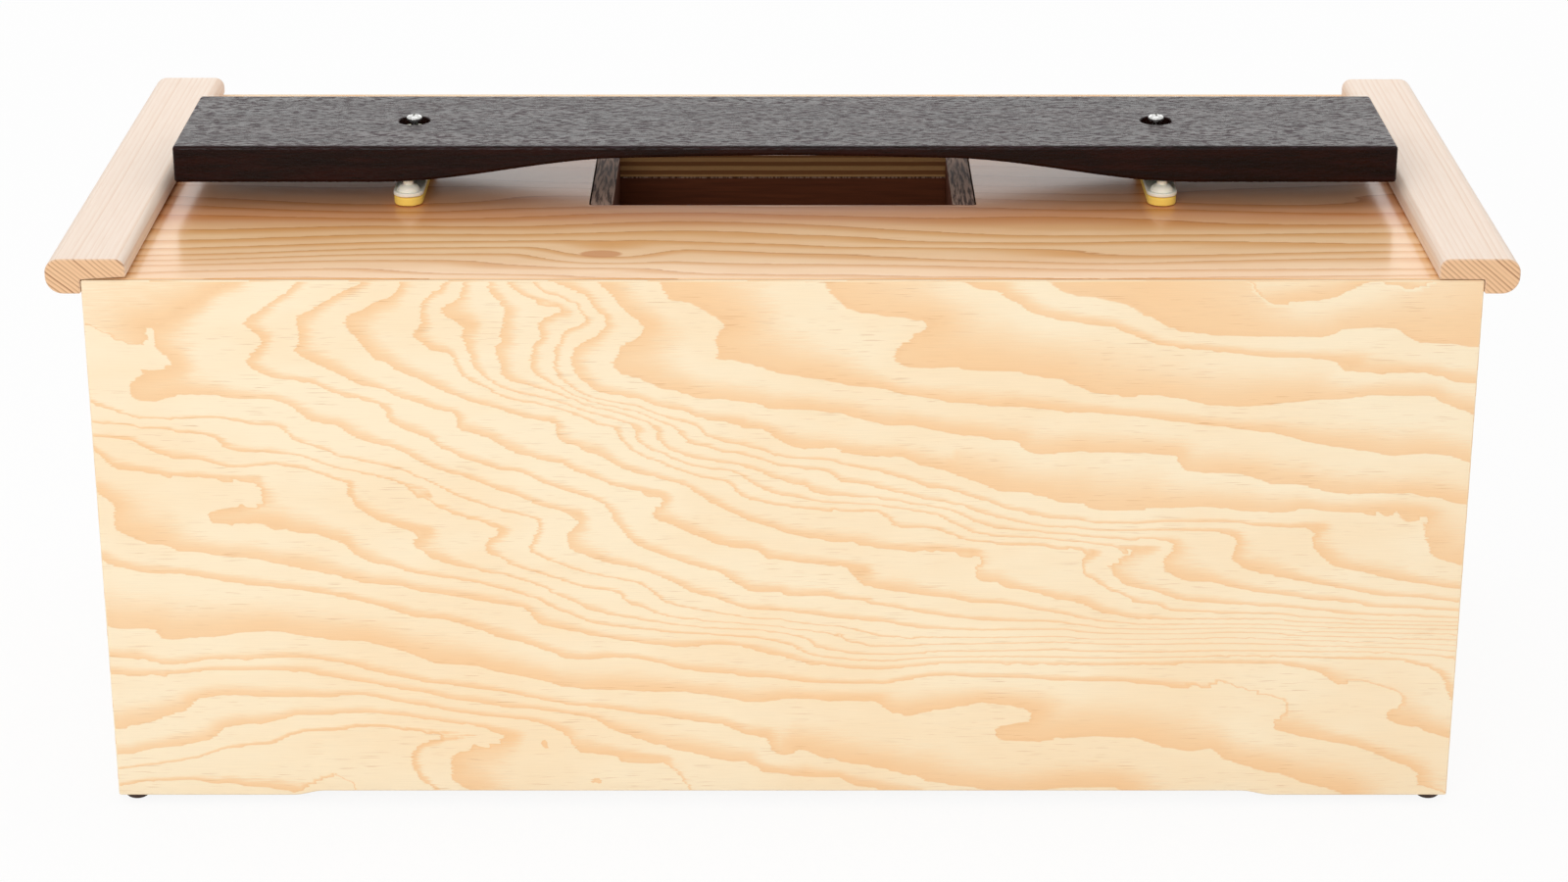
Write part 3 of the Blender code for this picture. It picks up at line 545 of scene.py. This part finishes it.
      -198, 218.5, -193, 216.6, -195, 212.9, -193, 209, -185, 204, -179, 202, -173.6, 199.9, -170, 196,
      -163, 192.9, -159, 189.6, -145.6, 185.4, -138, 183.1, -130.6, 183, -124, 179.3, -116.6, 175.6,
      -109, 172.8, -100, 170, -89.6, 166, -85, 160, -85, 157, -82, 154, -79, 150, -75, 145, -68, 140.6,
      -61, 138, -48, 133, -31, 128, -28, 125.6, -20, 119.9, -15.6, 117.3, -0.6, 117.6, 0, 115.5, 8, 114.7,
      21, 115.5, 28, 113.8, 43, 113.4, 41, 111.2, 53.5, 109.6, 62, 108, 75, 105.2, 92, 102.6, 106, 101.4,
      130, 101.3, 146, 99.8, 155.5, 98.2, 162, 97.5, 180, 96.8, 200, 96.7, 225, 97.8, 250, 97.2, 270, 95.8,
      300, 94.8, 340, 93.8],
    20: [-265, 282, -271, 280, -279, 275.5, -284, 271.7, -291, 268, -299, 262.9, -303, 260, -310, 258,
      -309, 255, -307, 247.5, -303, 243.7, -296.6, 238.8, -303, 236.7, -309, 235.8, -317, 232, -320.5, 228.8,
      -321, 224, -318.5, 220.8, -314, 218.7, -307, 218.5, -300, 220.8, -290, 222.2, -279, 222.2, -264, 220.6,
      -250, 220.8, -242, 217.6, -237, 213, -232.6, 209, -218.6, 206.4, -214, 202.6, -210, 199.4, -192, 195,
      -185, 191.5, -179, 187.5, -171, 183.5, -159.6, 180.3, -150, 177, -141, 172.3, -132.5, 170, -120, 163.9,
      -110, 161.1, -100, 160, -101.7, 154.6, -108, 149, -107, 140.6, -98, 136.4, -85, 132.6, -75, 130.8,
      -65, 127.4, -58.5, 124.5, -51, 121.3, -49, 118.9, -44.5, 116.6, -34, 114.3, -27, 111, -20, 108.7,
      -14.6, 107.4, 2, 107.2, 9.6, 105.9, 19, 104.3, 27, 102.6, 39.5, 102, 55, 100.7, 57, 99.3, 69, 97.7,
      95, 96.2, 120, 96.3, 141, 97, 150, 95.4, 164, 94.6, 183, 94.2, 201, 94.4, 228, 95.6, 247, 94.8,
      260, 93.3, 300, 92, 340, 91.1],
    21: [-340, 219, -337, 217, -325, 212.9, -316.7, 210.1, -302.7, 209.6, -287.7, 210.6, -274.6, 210.1,
      -260.6, 207.3, -250, 206.8, -245, 205, -242, 199.5, -232.6, 195.8, -226, 193.8, -219.5, 190, -209, 188,
      -190, 183.7, -179, 178.4, -169, 173.7, -161.5, 169, -150, 165.3, -139, 161.1, -122, 157.8, -120, 155,
      -122, 150, -127, 140.6, -123, 136.8, -112, 133, -100, 128.4, -89.6, 126, -80, 124.2, -69, 121.4,
      -64.6, 116.6, -57, 110.5, -44.5, 108, -28.6, 104.9, -11, 102.4, 2, 101.2, 17, 99.2, 30, 98.2, 41, 95.6,
      51, 92.3, 64, 91.8, 90, 92.2, 110, 92.2, 135, 92.8, 150, 91.8, 180, 91.4, 215, 92, 240, 91.7, 265, 90.6,
      300, 89.6, 340, 88.2],
    22: [-340, 208.5, -328, 207.5, -303, 205.4, -284, 202.2, -278, 199.9, -275.6, 197, -278, 195, -268, 192.6,
      -256, 192.4, -242, 191.2, -232.6, 188.6, -218, 183.5, -200, 180, -186, 175.5, -176, 172.5, -175, 169.8,
      -182, 168, -179, 164, -170, 163.3, -158, 158.3, -143, 154, -137.6, 151.8, -146.5, 146.2, -150, 139.8,
      -144.6, 137.3, -136, 132.2, -130.6, 130, -120, 127, -111, 124, -102, 120.8, -89.6, 119, -82, 118,
      -80, 115.5, -81, 111.2, -70, 109.4, -63, 105, -49, 102.4, -39, 100.9, -20, 99.9, -5, 98.8, 6, 96.8,
      21, 95.6, 29, 93.8, 31, 90.8, 40, 89.3, 43.5, 87.8, 60, 87.5, 78, 88.8, 100, 89, 140, 90, 171, 88.6,
      215, 89.3, 238, 89.1, 261, 88, 281, 87.8, 300, 87, 322, 86.4, 340, 84.6],
    23: [-340, 200.8, -321, 199.9, -317.6, 196.6, -301, 188.7, -287.7, 188.7, -274.6, 184.5, -268, 184.2,
      -250.4, 187, -235, 184.3, -220.5, 178.4, -213, 177, -217, 170.5, -211, 163, -204.4, 157.8, -200, 155.5,
      -184, 152.2, -176, 150.8, -183, 144.8, -189, 142.9, -188.5, 140.6, -177, 135.9, -163, 131.2,
      -150, 128.2, -141, 127.4, -128, 123.3, -117.6, 119.4, -115.7, 116.6, -105, 112.6, -100, 108.7,
      -87, 104.7, -71, 102, -57.6, 99.8, -38, 98, -9, 96.4, 4, 94.4, 9.6, 93, 14, 90.5, 16, 87, 24, 85,
      34, 83.5, 48, 82.4, 60, 82.9, 80, 84.3, 110, 84.7, 140, 85.8, 148, 84.7, 175, 83.7, 215, 84.5,
      250, 84.8, 270, 84.2, 300, 83.8, 340, 81.8],
    24: [-340, 195.7, -335, 189, -330.7, 184, -321, 182.8, -300, 180.5, -280, 179.3, -260, 179, -260.6, 174.2,
      -259, 170.5, -269, 165, -284, 161, -287, 159, -285, 154.6, -274, 152.7, -262, 154.6, -250, 153.2,
      -247, 151.3, -253, 149, -232, 149, -226, 146.2, -218.6, 145, -214, 137.8, -204, 132.8, -197, 132.2,
      -187, 128.4, -170, 125.8, -150, 122, -133.4, 117, -122, 112.9, -111, 107.3, -105, 104.9, -98, 101,
      -86, 99, -70, 97.2, -50, 95, -30, 93.6, -15, 92.4, -5, 90.6, 5, 88, 9, 85, 14, 82.7, 24, 81.2, 38, 80,
      50, 79.6, 62, 80.2, 78, 81.6, 110, 81.9, 150, 81, 175, 81, 215, 81.8, 250, 82, 275, 81.5, 295, 81.6,
      313, 80.9, 325, 77, 333, 72, 337, 62, 340, 54.6],
    25: [-340, 172.3, -331, 165, -332.5, 156.4, -333, 151.8, -328, 149, -321, 145.2, -315.7, 143, -309, 142.9,
      -301, 139.6, -291, 138.7, -274.6, 136.4, -262.5, 135.4, -250, 132.2, -241, 130.3, -233.6, 128.4,
      -219.5, 125.2, -209, 122.6, -191, 121, -179, 117.5, -160.5, 114.3, -141, 111.2, -132.5, 110,
      -128, 107.7, -124.6, 102.6, -119.4, 98.9, -100, 95.1, -79, 90.5, -63, 88.3, -50, 87.4, -38, 89,
      -30, 89.6, -15, 86.6, -3, 82.9, 7, 80.4, 19, 77.9, 34, 75.8, 51, 75, 64, 76.4, 81, 78.6, 108, 79,
      130, 78.4, 150, 77.6, 180, 77.9, 202, 79, 229, 79.2, 249, 79, 261, 76.7, 273, 73, 283, 63, 291, 54.5,
      300.5, 48.3, 315, 43.4, 325, 41, 340, 36],
    26: [-340, 135.4, -334, 131.7, -317, 128, -301, 127.7, -284, 124.7, -267, 121.7, -250, 119.9,
      -232.6, 117.7, -215, 113.8, -200, 109.3, -185.7, 104, -169, 102.6, -158, 99, -142, 92.5, -131, 89.9,
      -125, 87.8, -115, 84, -112, 81.2, -100, 79.9, -88, 82, -73, 81, -61, 78.5, -55, 75.8, -40, 73,
      -30, 72.4, -15, 70, -3, 69.8, 9.5, 67.6, 27, 66.8, 51, 66.8, 60, 69, 67, 70.1, 74, 71.4, 85.5, 71.8,
      100, 70.4, 119, 70.4, 140, 68.9, 162, 68.8, 187, 66.8, 202, 64.4, 214, 61.9, 221.6, 54.5, 231.5, 47.1,
      239, 43.4, 249, 40.2, 265, 36.7, 279, 34, 290, 32.4, 299.5, 29.2, 308, 24.9, 319, 20.7, 324, 16.9,
      325, 12.7, 322, 9.5, 319, 4],
    27: [-340, 98.4, -334, 97, -315, 97.2, -314, 92.8, -309, 90.6, -301, 91.9, -284, 92.3, -274, 94.9,
      -256, 96.1, -241, 93.3, -228, 90.6, -209, 90.3, -196, 86.3, -182, 81.1, -175, 78, -154, 76.4,
      -146, 73.8, -133, 70.9, -121, 68.2, -110.6, 65.1, -100, 63.6, -84, 63.6, -71, 62, -50, 62.4, -30, 59.8,
      -20, 56.8, -8, 57, 2, 59.4, 19, 58.2, 49, 58.2, 51.4, 50.8, 64, 48.8, 73.6, 51.3, 91, 54.5, 101, 57,
      118, 54.5, 128, 52, 125, 45.9, 110.6, 43.4, 98, 41, 98, 38.5, 110.6, 34.8, 128, 33.5, 143, 36,
      157.5, 37.2, 180, 36, 192, 31.6, 207, 28.6, 219, 31, 224, 24.9, 236, 20.7, 254, 16.3, 266, 11.3,
      278, 8.4, 288, 4.4],
    28: [-340, 81.6, -325, 80.2, -313, 77.4, -305.5, 77.2, -286, 80, -269, 79.4, -252, 81.1, -239, 80.9,
      -220.5, 77.8, -210, 74.1, -200, 71.8, -182, 67.9, -164, 65.1, -146, 63, -137.5, 61.6, -129, 58.9,
      -110.6, 54.9, -98, 53.7, -75.5, 51, -65, 49.6, -51, 46.9, -30, 43.9, -20, 38.5, -8, 37.2, -6.6, 29.8,
      -5.3, 26, 5.8, 25.6, 7, 31, 13, 28.6, 19, 24.9, 31.7, 21.7, 51, 18.7, 61, 15, 73.6, 11.3, 96, 8.4,
      108, 6.2, 122, 5, 128, 6.6, 143, 8.4, 171, 8.9, 178, 5],
    29: [-340, 72.7, -326, 71.8, -300, 73.8, -286, 75, -260, 75, -243, 74.1, -232, 71.3, -214, 67.9,
      -200, 65.2, -182, 62.3, -169, 58.5, -158, 57, -141.6, 53.7, -125, 52.6, -115, 51.5, -100, 49, -94, 46.5,
      -88, 42.3, -79.6, 38.2, -65, 32, -55, 29.5, -42, 26.8, -30, 23.9, -18, 23.7, -13, 20, 0, 16.8, 12, 15,
      29, 15, 35, 11.3, 44, 8.9, 56, 6.9, 70, 5.4],
    30: [-340, 41.6, -335, 40.7, -330.7, 43.3, -322, 44.4, -311, 49, -304.5, 50.8, -300, 53.9, -299, 57,
      -290, 59.9, -274.6, 60.1, -260, 59.1, -241, 59.5, -230, 58.9, -218, 60.8, -208, 60, -195, 56.8,
      -183, 54.7, -172.6, 52.3, -160, 50.2, -148, 48.5, -133, 47.3, -125, 46, -117, 42.8, -110.6, 40.3,
      -119, 37.2, -125, 34, -124, 31, -113, 28.3, -100, 28.3, -84, 26.8, -71, 25.8, -59, 24.5, -71, 20.6,
      -84, 18.6, -94, 16.5, -98, 12.4, -95, 5],
    31: [-340, 27.1, -331, 27.6, -323, 29.9, -300, 32.7, -288.6, 35.5, -284, 41.6, -274.6, 44, -265, 43.9,
      -256, 46.3, -246.6, 49.3, -230, 49.6, -209, 50.3, -191, 49, -181, 46.5, -154, 42.8, -144, 40.3,
      -136.4, 37.8, -146, 35.7, -158, 33.7, -166, 30, -170, 24.8, -168.5, 19.6, -170, 14.4, -167, 9.3,
      -158, 5],
    32: [-340, 18.7, -326, 20.6, -309, 23.1, -299, 25.5, -284, 30.9, -270, 32.4, -260.6, 33.2, -252, 37.9,
      -243, 40.8, -228, 41.4, -217, 43.5, -200, 43.3, -183, 40.7, -158, 38.2, -164, 36, -179, 34.7, -186, 32,
      -189, 25.8, -188, 19.6, -186, 14.4, -181, 10.3, -174, 5],
    33: [-340, 9.4, -328, 11.7, -309, 12.7, -300, 12.8, -290, 10.3, -282, 11, -274.6, 8.7, -262.5, 8,
      -250, 5],
}

# how much of each ring, from 0 to 1, is orange:
# one share, or pairs of the x in millimetres from where it holds and the share
lateShare = {
    5: 0.5, 6: 0.7, 7: 0.4, 8: 0.7, 9: 0.45, 10: 0.5, 11: [(-400, 0.4), (80, 0.7)], 12: 0.3,
    13: 0.35, 14: 0.4, 15: 0.35, 16: 0.3, 17: 0.35, 18: 0.3, 19: 0.25, 20: 0.3, 21: 0.15, 22: 0.2,
    23: 0.25, 24: 0.3, 25: 0.5, 26: 0.3, 27: 0.6, 28: [(-400, 0.3), (0, 0.45)], 29: 0.5, 30: 0.4,
    31: 0.4, 32: 0.15, 33: 0.2, 34: 0.2,
}
# millimetres between the grid's points, and between a line's points for the smooth surface and for distances;
# slopes stop at slopeLimit rings per metre; batch: how many grid points go at once
frontGrid = {"step": 2.0, "spacing": 9.0, "fine": 1.5, "slopeLimit": 150, "batch": 4000}


def walkLine(flat, spacing):
    corners = np.array(flat, float).reshape(-1, 2)
    out = []
    for a, b in zip(corners, corners[1:]):
        count = max(1, round(float(np.hypot(*(b - a))) / spacing))
        out += [a + (b - a) * i / count for i in range(count)]
    return np.array(out + [corners[-1]])


def sideOfLines(rings, spots):
    # one smooth surface through all lines, only to say on which side of a line a spot is
    lines = {level: walkLine(flat, frontGrid["spacing"]) for level, flat in rings.items()}
    known = np.concatenate(list(lines.values())) / 100
    levels = np.concatenate([np.full(len(p), float(level)) for level, p in lines.items()])
    count = len(known)
    system = np.zeros((count + 3, count + 3))
    system[:count, :count] = np.linalg.norm(known[:, None] - known[None], axis=2)
    system[:count, count] = system[count, :count] = 1
    system[:count, count + 1:] = known
    system[count + 1:, :count] = known.T
    answer = np.linalg.solve(system, np.concatenate([levels, [0, 0, 0]]))
    spots = spots / 100
    out = np.zeros(len(spots))
    batch = frontGrid["batch"]
    for i in range(0, len(spots), batch):
        part = spots[i:i + batch]
        gap = np.linalg.norm(part[:, None] - known[None], axis=2)
        out[i:i + batch] = gap @ answer[:count] + answer[count] + part @ answer[count + 1:]
    return out


def nearest(points, spots):
    tree = KDTree(len(points))
    for i, (x, z) in enumerate(points):
        tree.insert((x, z, 0), i)
    tree.balance()
    found = [tree.find((x, z, 0)) for x, z in spots]
    return np.array([f[1] for f in found]), np.array([f[2] for f in found])


def withoutSpecks(grid):
    # the middle value of each 3 x 3 block keeps every edge and drops single wrong spots
    around = np.pad(grid, 1, mode="edge")
    rows, columns = grid.shape
    return np.median([around[j:j + rows, i:i + columns] for j in range(3) for i in range(3)], axis=0)


def ringField(rings, low, high):
    # ring number, and how much of that ring is orange, on a grid over the panel
    step = frontGrid["step"]
    xs = np.arange(low[0] - step, high[0] + 2 * step, step)
    zs = np.arange(low[1] - step, high[1] + 2 * step, step)
    spots = np.array([(x, z) for z in zs for x in xs])
    smooth = sideOfLines(rings, spots)
    fine = {level: walkLine(flat, frontGrid["fine"]) for level, flat in rings.items()}
    order = nearest(np.concatenate(list(fine.values())), spots)[0]
    owner = np.concatenate([np.full(len(p), level) for level, p in fine.items()])[order]
    ring = np.where(smooth >= owner, owner, owner - 1).reshape(len(zs), len(xs))
    ring = withoutSpecks(withoutSpecks(ring)).ravel()
    value, share = np.zeros(len(spots)), np.zeros(len(spots))
    for n in range(min(rings) - 1, max(rings) + 1):
        inside = np.flatnonzero(ring == n)
        if not len(inside):
            continue
        here = spots[inside]
        if n in rings and n + 1 in rings:
            above = nearest(fine[n], here)[1]
            which, below = nearest(fine[n + 1], here)
            value[inside] = n + above / np.maximum(above + below, 1e-6)
            along = fine[n + 1][which, 0]
        else:
            value[inside] = np.clip(smooth[inside], n + 0.02, n + 0.98)
            along = here[:, 0]
        amounts = lateShare[n + 1]
        for start, amount in amounts if isinstance(amounts, list) else [(-np.inf, amounts)]:
            share[inside[along > start]] = amount
    value = value.reshape(len(zs), len(xs))
    share = share.reshape(len(zs), len(xs))
    slopeZ, slopeX = np.gradient(value, step * mm)
    limit = frontGrid["slopeLimit"]
    layers = [value, np.clip(slopeX, -limit, limit), np.clip(slopeZ, -limit, limit), share]

    def at(places):
        u = np.clip((places[:, 0] - xs[0]) / step, 0, len(xs) - 1.001)
        v = np.clip((places[:, 1] - zs[0]) / step, 0, len(zs) - 1.001)
        i, j = u.astype(int), v.astype(int)
        fu, fv = u - i, v - j
        corners = [
            (j, i, (1 - fu) * (1 - fv)), (j, i + 1, fu * (1 - fv)),
            (j + 1, i, (1 - fu) * fv), (j + 1, i + 1, fu * fv),
        ]
        return [sum(layer[row, column] * weight for row, column, weight in corners) for layer in layers]

    return at


def once(things):
    # no repeats, in the same order
    return list(dict.fromkeys(things))


def gridBoard(name, nodeName, front, cuts, material):
    # the board as it is, with the face that shows cut into a fine grid to carry the grain
    def shows(face):
        return face.normal.dot(front) > 0.99

    bm = bmesh.new()
    bm.from_mesh(nodes[nodeName].data)
    bmesh.ops.remove_doubles(bm, verts=bm.verts, dist=0.001 * mm)
    bmesh.ops.dissolve_faces(bm, faces=[f for f in bm.faces if shows(f)])
    low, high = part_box(nodeName)
    for axis, step in cuts:
        direction = Vector([float(i == axis) for i in range(3)])
        # only the strip that is still to be cut goes into the next cut
        left = [f for f in bm.faces if shows(f)]
        at = low[axis] + step
        while at < high[axis] - step / 2:
            parts = once(e for f in left for e in f.edges) + once(v for f in left for v in f.verts) + left
            made = bmesh.ops.bisect_plane(
                bm, geom=parts, dist=0.0001 * mm, plane_co=direction * at, plane_no=direction,
            )
            edges = [e for e in made["geom_cut"] if isinstance(e, bmesh.types.BMEdge)]
            left = [f for f in left if f.is_valid] + [f for e in edges for f in e.link_faces if shows(f)]
            left = once(f for f in left if f.calc_center_median()[axis] > at)
            at += step
    mesh = bpy.data.meshes.new(name)
    bm.to_mesh(mesh)
    bm.free()
    mesh.materials.append(material)
    obj = bpy.data.objects.new(name, mesh)
    bpy.context.scene.collection.objects.link(obj)
    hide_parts(nodeName)
    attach(obj, "sound_box")
    return obj


def carryGrain(obj, field, axisA, axisB):
    count = len(obj.data.vertices)
    co = np.zeros(count * 3, np.float32)
    obj.data.vertices.foreach_get("co", co)
    ring, slopeA, slopeB, share = field(co.reshape(-1, 3)[:, (axisA, axisB)] * 1000.0)
    grain = obj.data.attributes.new("grain", "FLOAT_VECTOR", "POINT")
    grain.data.foreach_set("vector", np.stack([ring, slopeA, slopeB], 1).astype(np.float32).ravel())
    late = obj.data.attributes.new("lateShare", "FLOAT", "POINT")
    late.data.foreach_set("value", share.astype(np.float32))


frontCuts = [(0, 3 * mm), (2, 2 * mm)]    # axis, and the distance between cuts
frontField = ringField(frontRings, (-341, 2), (341, 284))    # the panel's corners in millimetres
frontBoard = gridBoard("frontBoard", "front_panel", Vector((0, -1, 0)), frontCuts, frontWood)
carryGrain(frontBoard, frontField, 0, 2)
print("front board:", len(frontBoard.data.vertices), "points carry the grain")


def feltPad(side):
    # pressed felt: soft corners and slightly uneven faces, never outside the pad as built
    draft = bpy.data.objects.new("feltDraft", nodes["felt_pad_" + side].data.copy())
    bpy.context.scene.collection.objects.link(draft)
    cells = draft.modifiers.new("cells", "REMESH")
    cells.mode = "VOXEL"
    cells.voxel_size = feltLook["cell"]
    ready = draft.evaluated_get(bpy.context.evaluated_depsgraph_get())
    mesh = bpy.data.meshes.new_from_object(ready)
    bpy.data.objects.remove(draft)
    bm = bmesh.new()
    bm.from_mesh(mesh)
    for turn in range(feltLook["soften"]):
        bmesh.ops.smooth_vert(
            bm, verts=bm.verts, factor=0.5, use_axis_x=True, use_axis_y=True, use_axis_z=True,
        )
    bm.normal_update()
    for v in bm.verts:
        uneven = noise.noise(v.co * feltLook["lumps"]) + 0.5 * noise.noise(v.co * feltLook["fuzz"])
        v.co -= v.normal * (feltLook["inset"] + feltLook["uneven"] * uneven)
    bm.to_mesh(mesh)
    bm.free()
    mesh.materials.clear()
    mesh.materials.append(feltYellow)
    mesh.polygons.foreach_set("use_smooth", [True] * len(mesh.polygons))
    obj = bpy.data.objects.new("feltPad" + side.title(), mesh)
    bpy.context.scene.collection.objects.link(obj)
    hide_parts("felt_pad_" + side)
    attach(obj, "sound_box")
    return obj


feltPads = [feltPad(side) for side in sides]
print("felt pads:", [len(pad.data.vertices) for pad in feltPads], "points")

clothes = {"rear_panel": backWood, "base_panel": baseWood, "top_panel": topWood, "tone_bar": barWood}
for side in sides:
    clothes |= {side + "_side_panel": sideWood, "handle_rail_" + side: railWood[side]}
    clothes |= {"bar_support_" + side: whiteMoulding, "screw_sleeve_" + side: whiteMoulding}
    clothes["bar_screw_" + side] = zinc
    clothes |= {"foot_" + end + "_" + side: brownRubber for end in ("front", "rear")}
for end in ("left", "right", "front", "rear"):
    clothes["duct_board_" + end] = ductWood
for nodeName, material in clothes.items():
    dress(nodeName, material)
print("dressed:", len(clothes), "nodes")


# floor, light and camera

studio = {
    "world": 0.6, "floor": srgb(250, 250, 250),
    "floorCorners": [(-12, -8, 0), (12, -8, 0), (12, 14, 0), (-12, 14, 0)],
    "floorGlow": 0.9,    # how much of the floor, as the camera sees it, is plain white
}
# each lamp: watts, place, what it points at, width and height
lamps = {
    "keyLamp": (38.0, (-0.8, -3.0, 1.6), (0, 0, 0.2), 2.4, 1.6),
    "topLamp": (10.0, (0, 0.5, 2.6), (0, 0, 0.2), 2.0, 1.0),
    "backLamp": (19.0, (0, 3.0, 1.5), (0, 0, 0.3), 4.0, 1.8),
}
# millimetres, millimetres, metres and degrees
viewpoint = {"lens": 81.56, "sensor": 36, "place": (0.0007, -1.7973, 0.833), "down": 21.25}


def layFloor():
    mesh = bpy.data.meshes.new("floor")
    mesh.from_pydata(studio["floorCorners"], [], [(0, 1, 2, 3)])
    floor = bpy.data.objects.new("floor", mesh)
    bpy.context.scene.collection.objects.link(floor)
    made = bpy.data.materials.new("paleFloor")
    made.use_nodes = True
    tree = made.node_tree
    shader = tree.nodes["Principled BSDF"]
    setShader(tree, shader, colour=studio["floor"], rough=0.9, specular=0.1)
    seen = addNode(tree, "LightPath")
    glow = addNode(tree, "Emission", {"Color": (1, 1, 1), "Strength": 1.0}).outputs[0]
    mixed = addNode(tree, "MixShader", {0: studio["floorGlow"], 1: shader.outputs[0], 2: glow}).outputs[0]
    out = addNode(tree, "MixShader", {0: seen.outputs["Is Camera Ray"], 1: shader.outputs[0], 2: mixed})
    tree.links.new(out.outputs[0], tree.nodes["Material Output"].inputs["Surface"])
    mesh.materials.append(made)


def areaLamp(name, watts, place, target, width, height):
    lamp = bpy.data.lights.new(name, "AREA")
    lamp.shape = "RECTANGLE"
    lamp.size = width
    lamp.size_y = height
    lamp.energy = watts
    obj = bpy.data.objects.new(name, lamp)
    obj.location = place
    obj.rotation_euler = (Vector(target) - Vector(place)).to_track_quat("-Z", "Y").to_euler()
    obj.visible_camera = False
    bpy.context.scene.collection.objects.link(obj)


def lightStudio():
    world = bpy.data.worlds.new("studio")
    bpy.context.scene.world = world
    world.use_nodes = True
    tree = world.node_tree
    paths = addNode(tree, "LightPath")
    seen = calc(tree, "MAXIMUM", paths.outputs["Is Camera Ray"], paths.outputs["Is Glossy Ray"])
    seen = calc(tree, "MAXIMUM", seen, paths.outputs["Is Transmission Ray"])
    strength = calc(tree, "MULTIPLY_ADD", seen, 1.0 - studio["world"], studio["world"])
    tree.nodes["Background"].inputs["Color"].default_value = (1, 1, 1, 1)
    tree.links.new(strength, tree.nodes["Background"].inputs["Strength"])
    for name, lamp in lamps.items():
        areaLamp(name, *lamp)


def setCamera():
    camera = bpy.data.cameras.new("camera")
    camera.lens = viewpoint["lens"]
    camera.sensor_width = viewpoint["sensor"]
    obj = bpy.data.objects.new("camera", camera)
    obj.location = viewpoint["place"]
    obj.rotation_euler = (math.radians(90 - viewpoint["down"]), 0, 0)
    bpy.context.scene.collection.objects.link(obj)
    bpy.context.scene.camera = obj


layFloor()
lightStudio()
setCamera()
print("studio:", len(lamps), "lamps")
bpy.context.scene.view_settings.view_transform = "Standard"
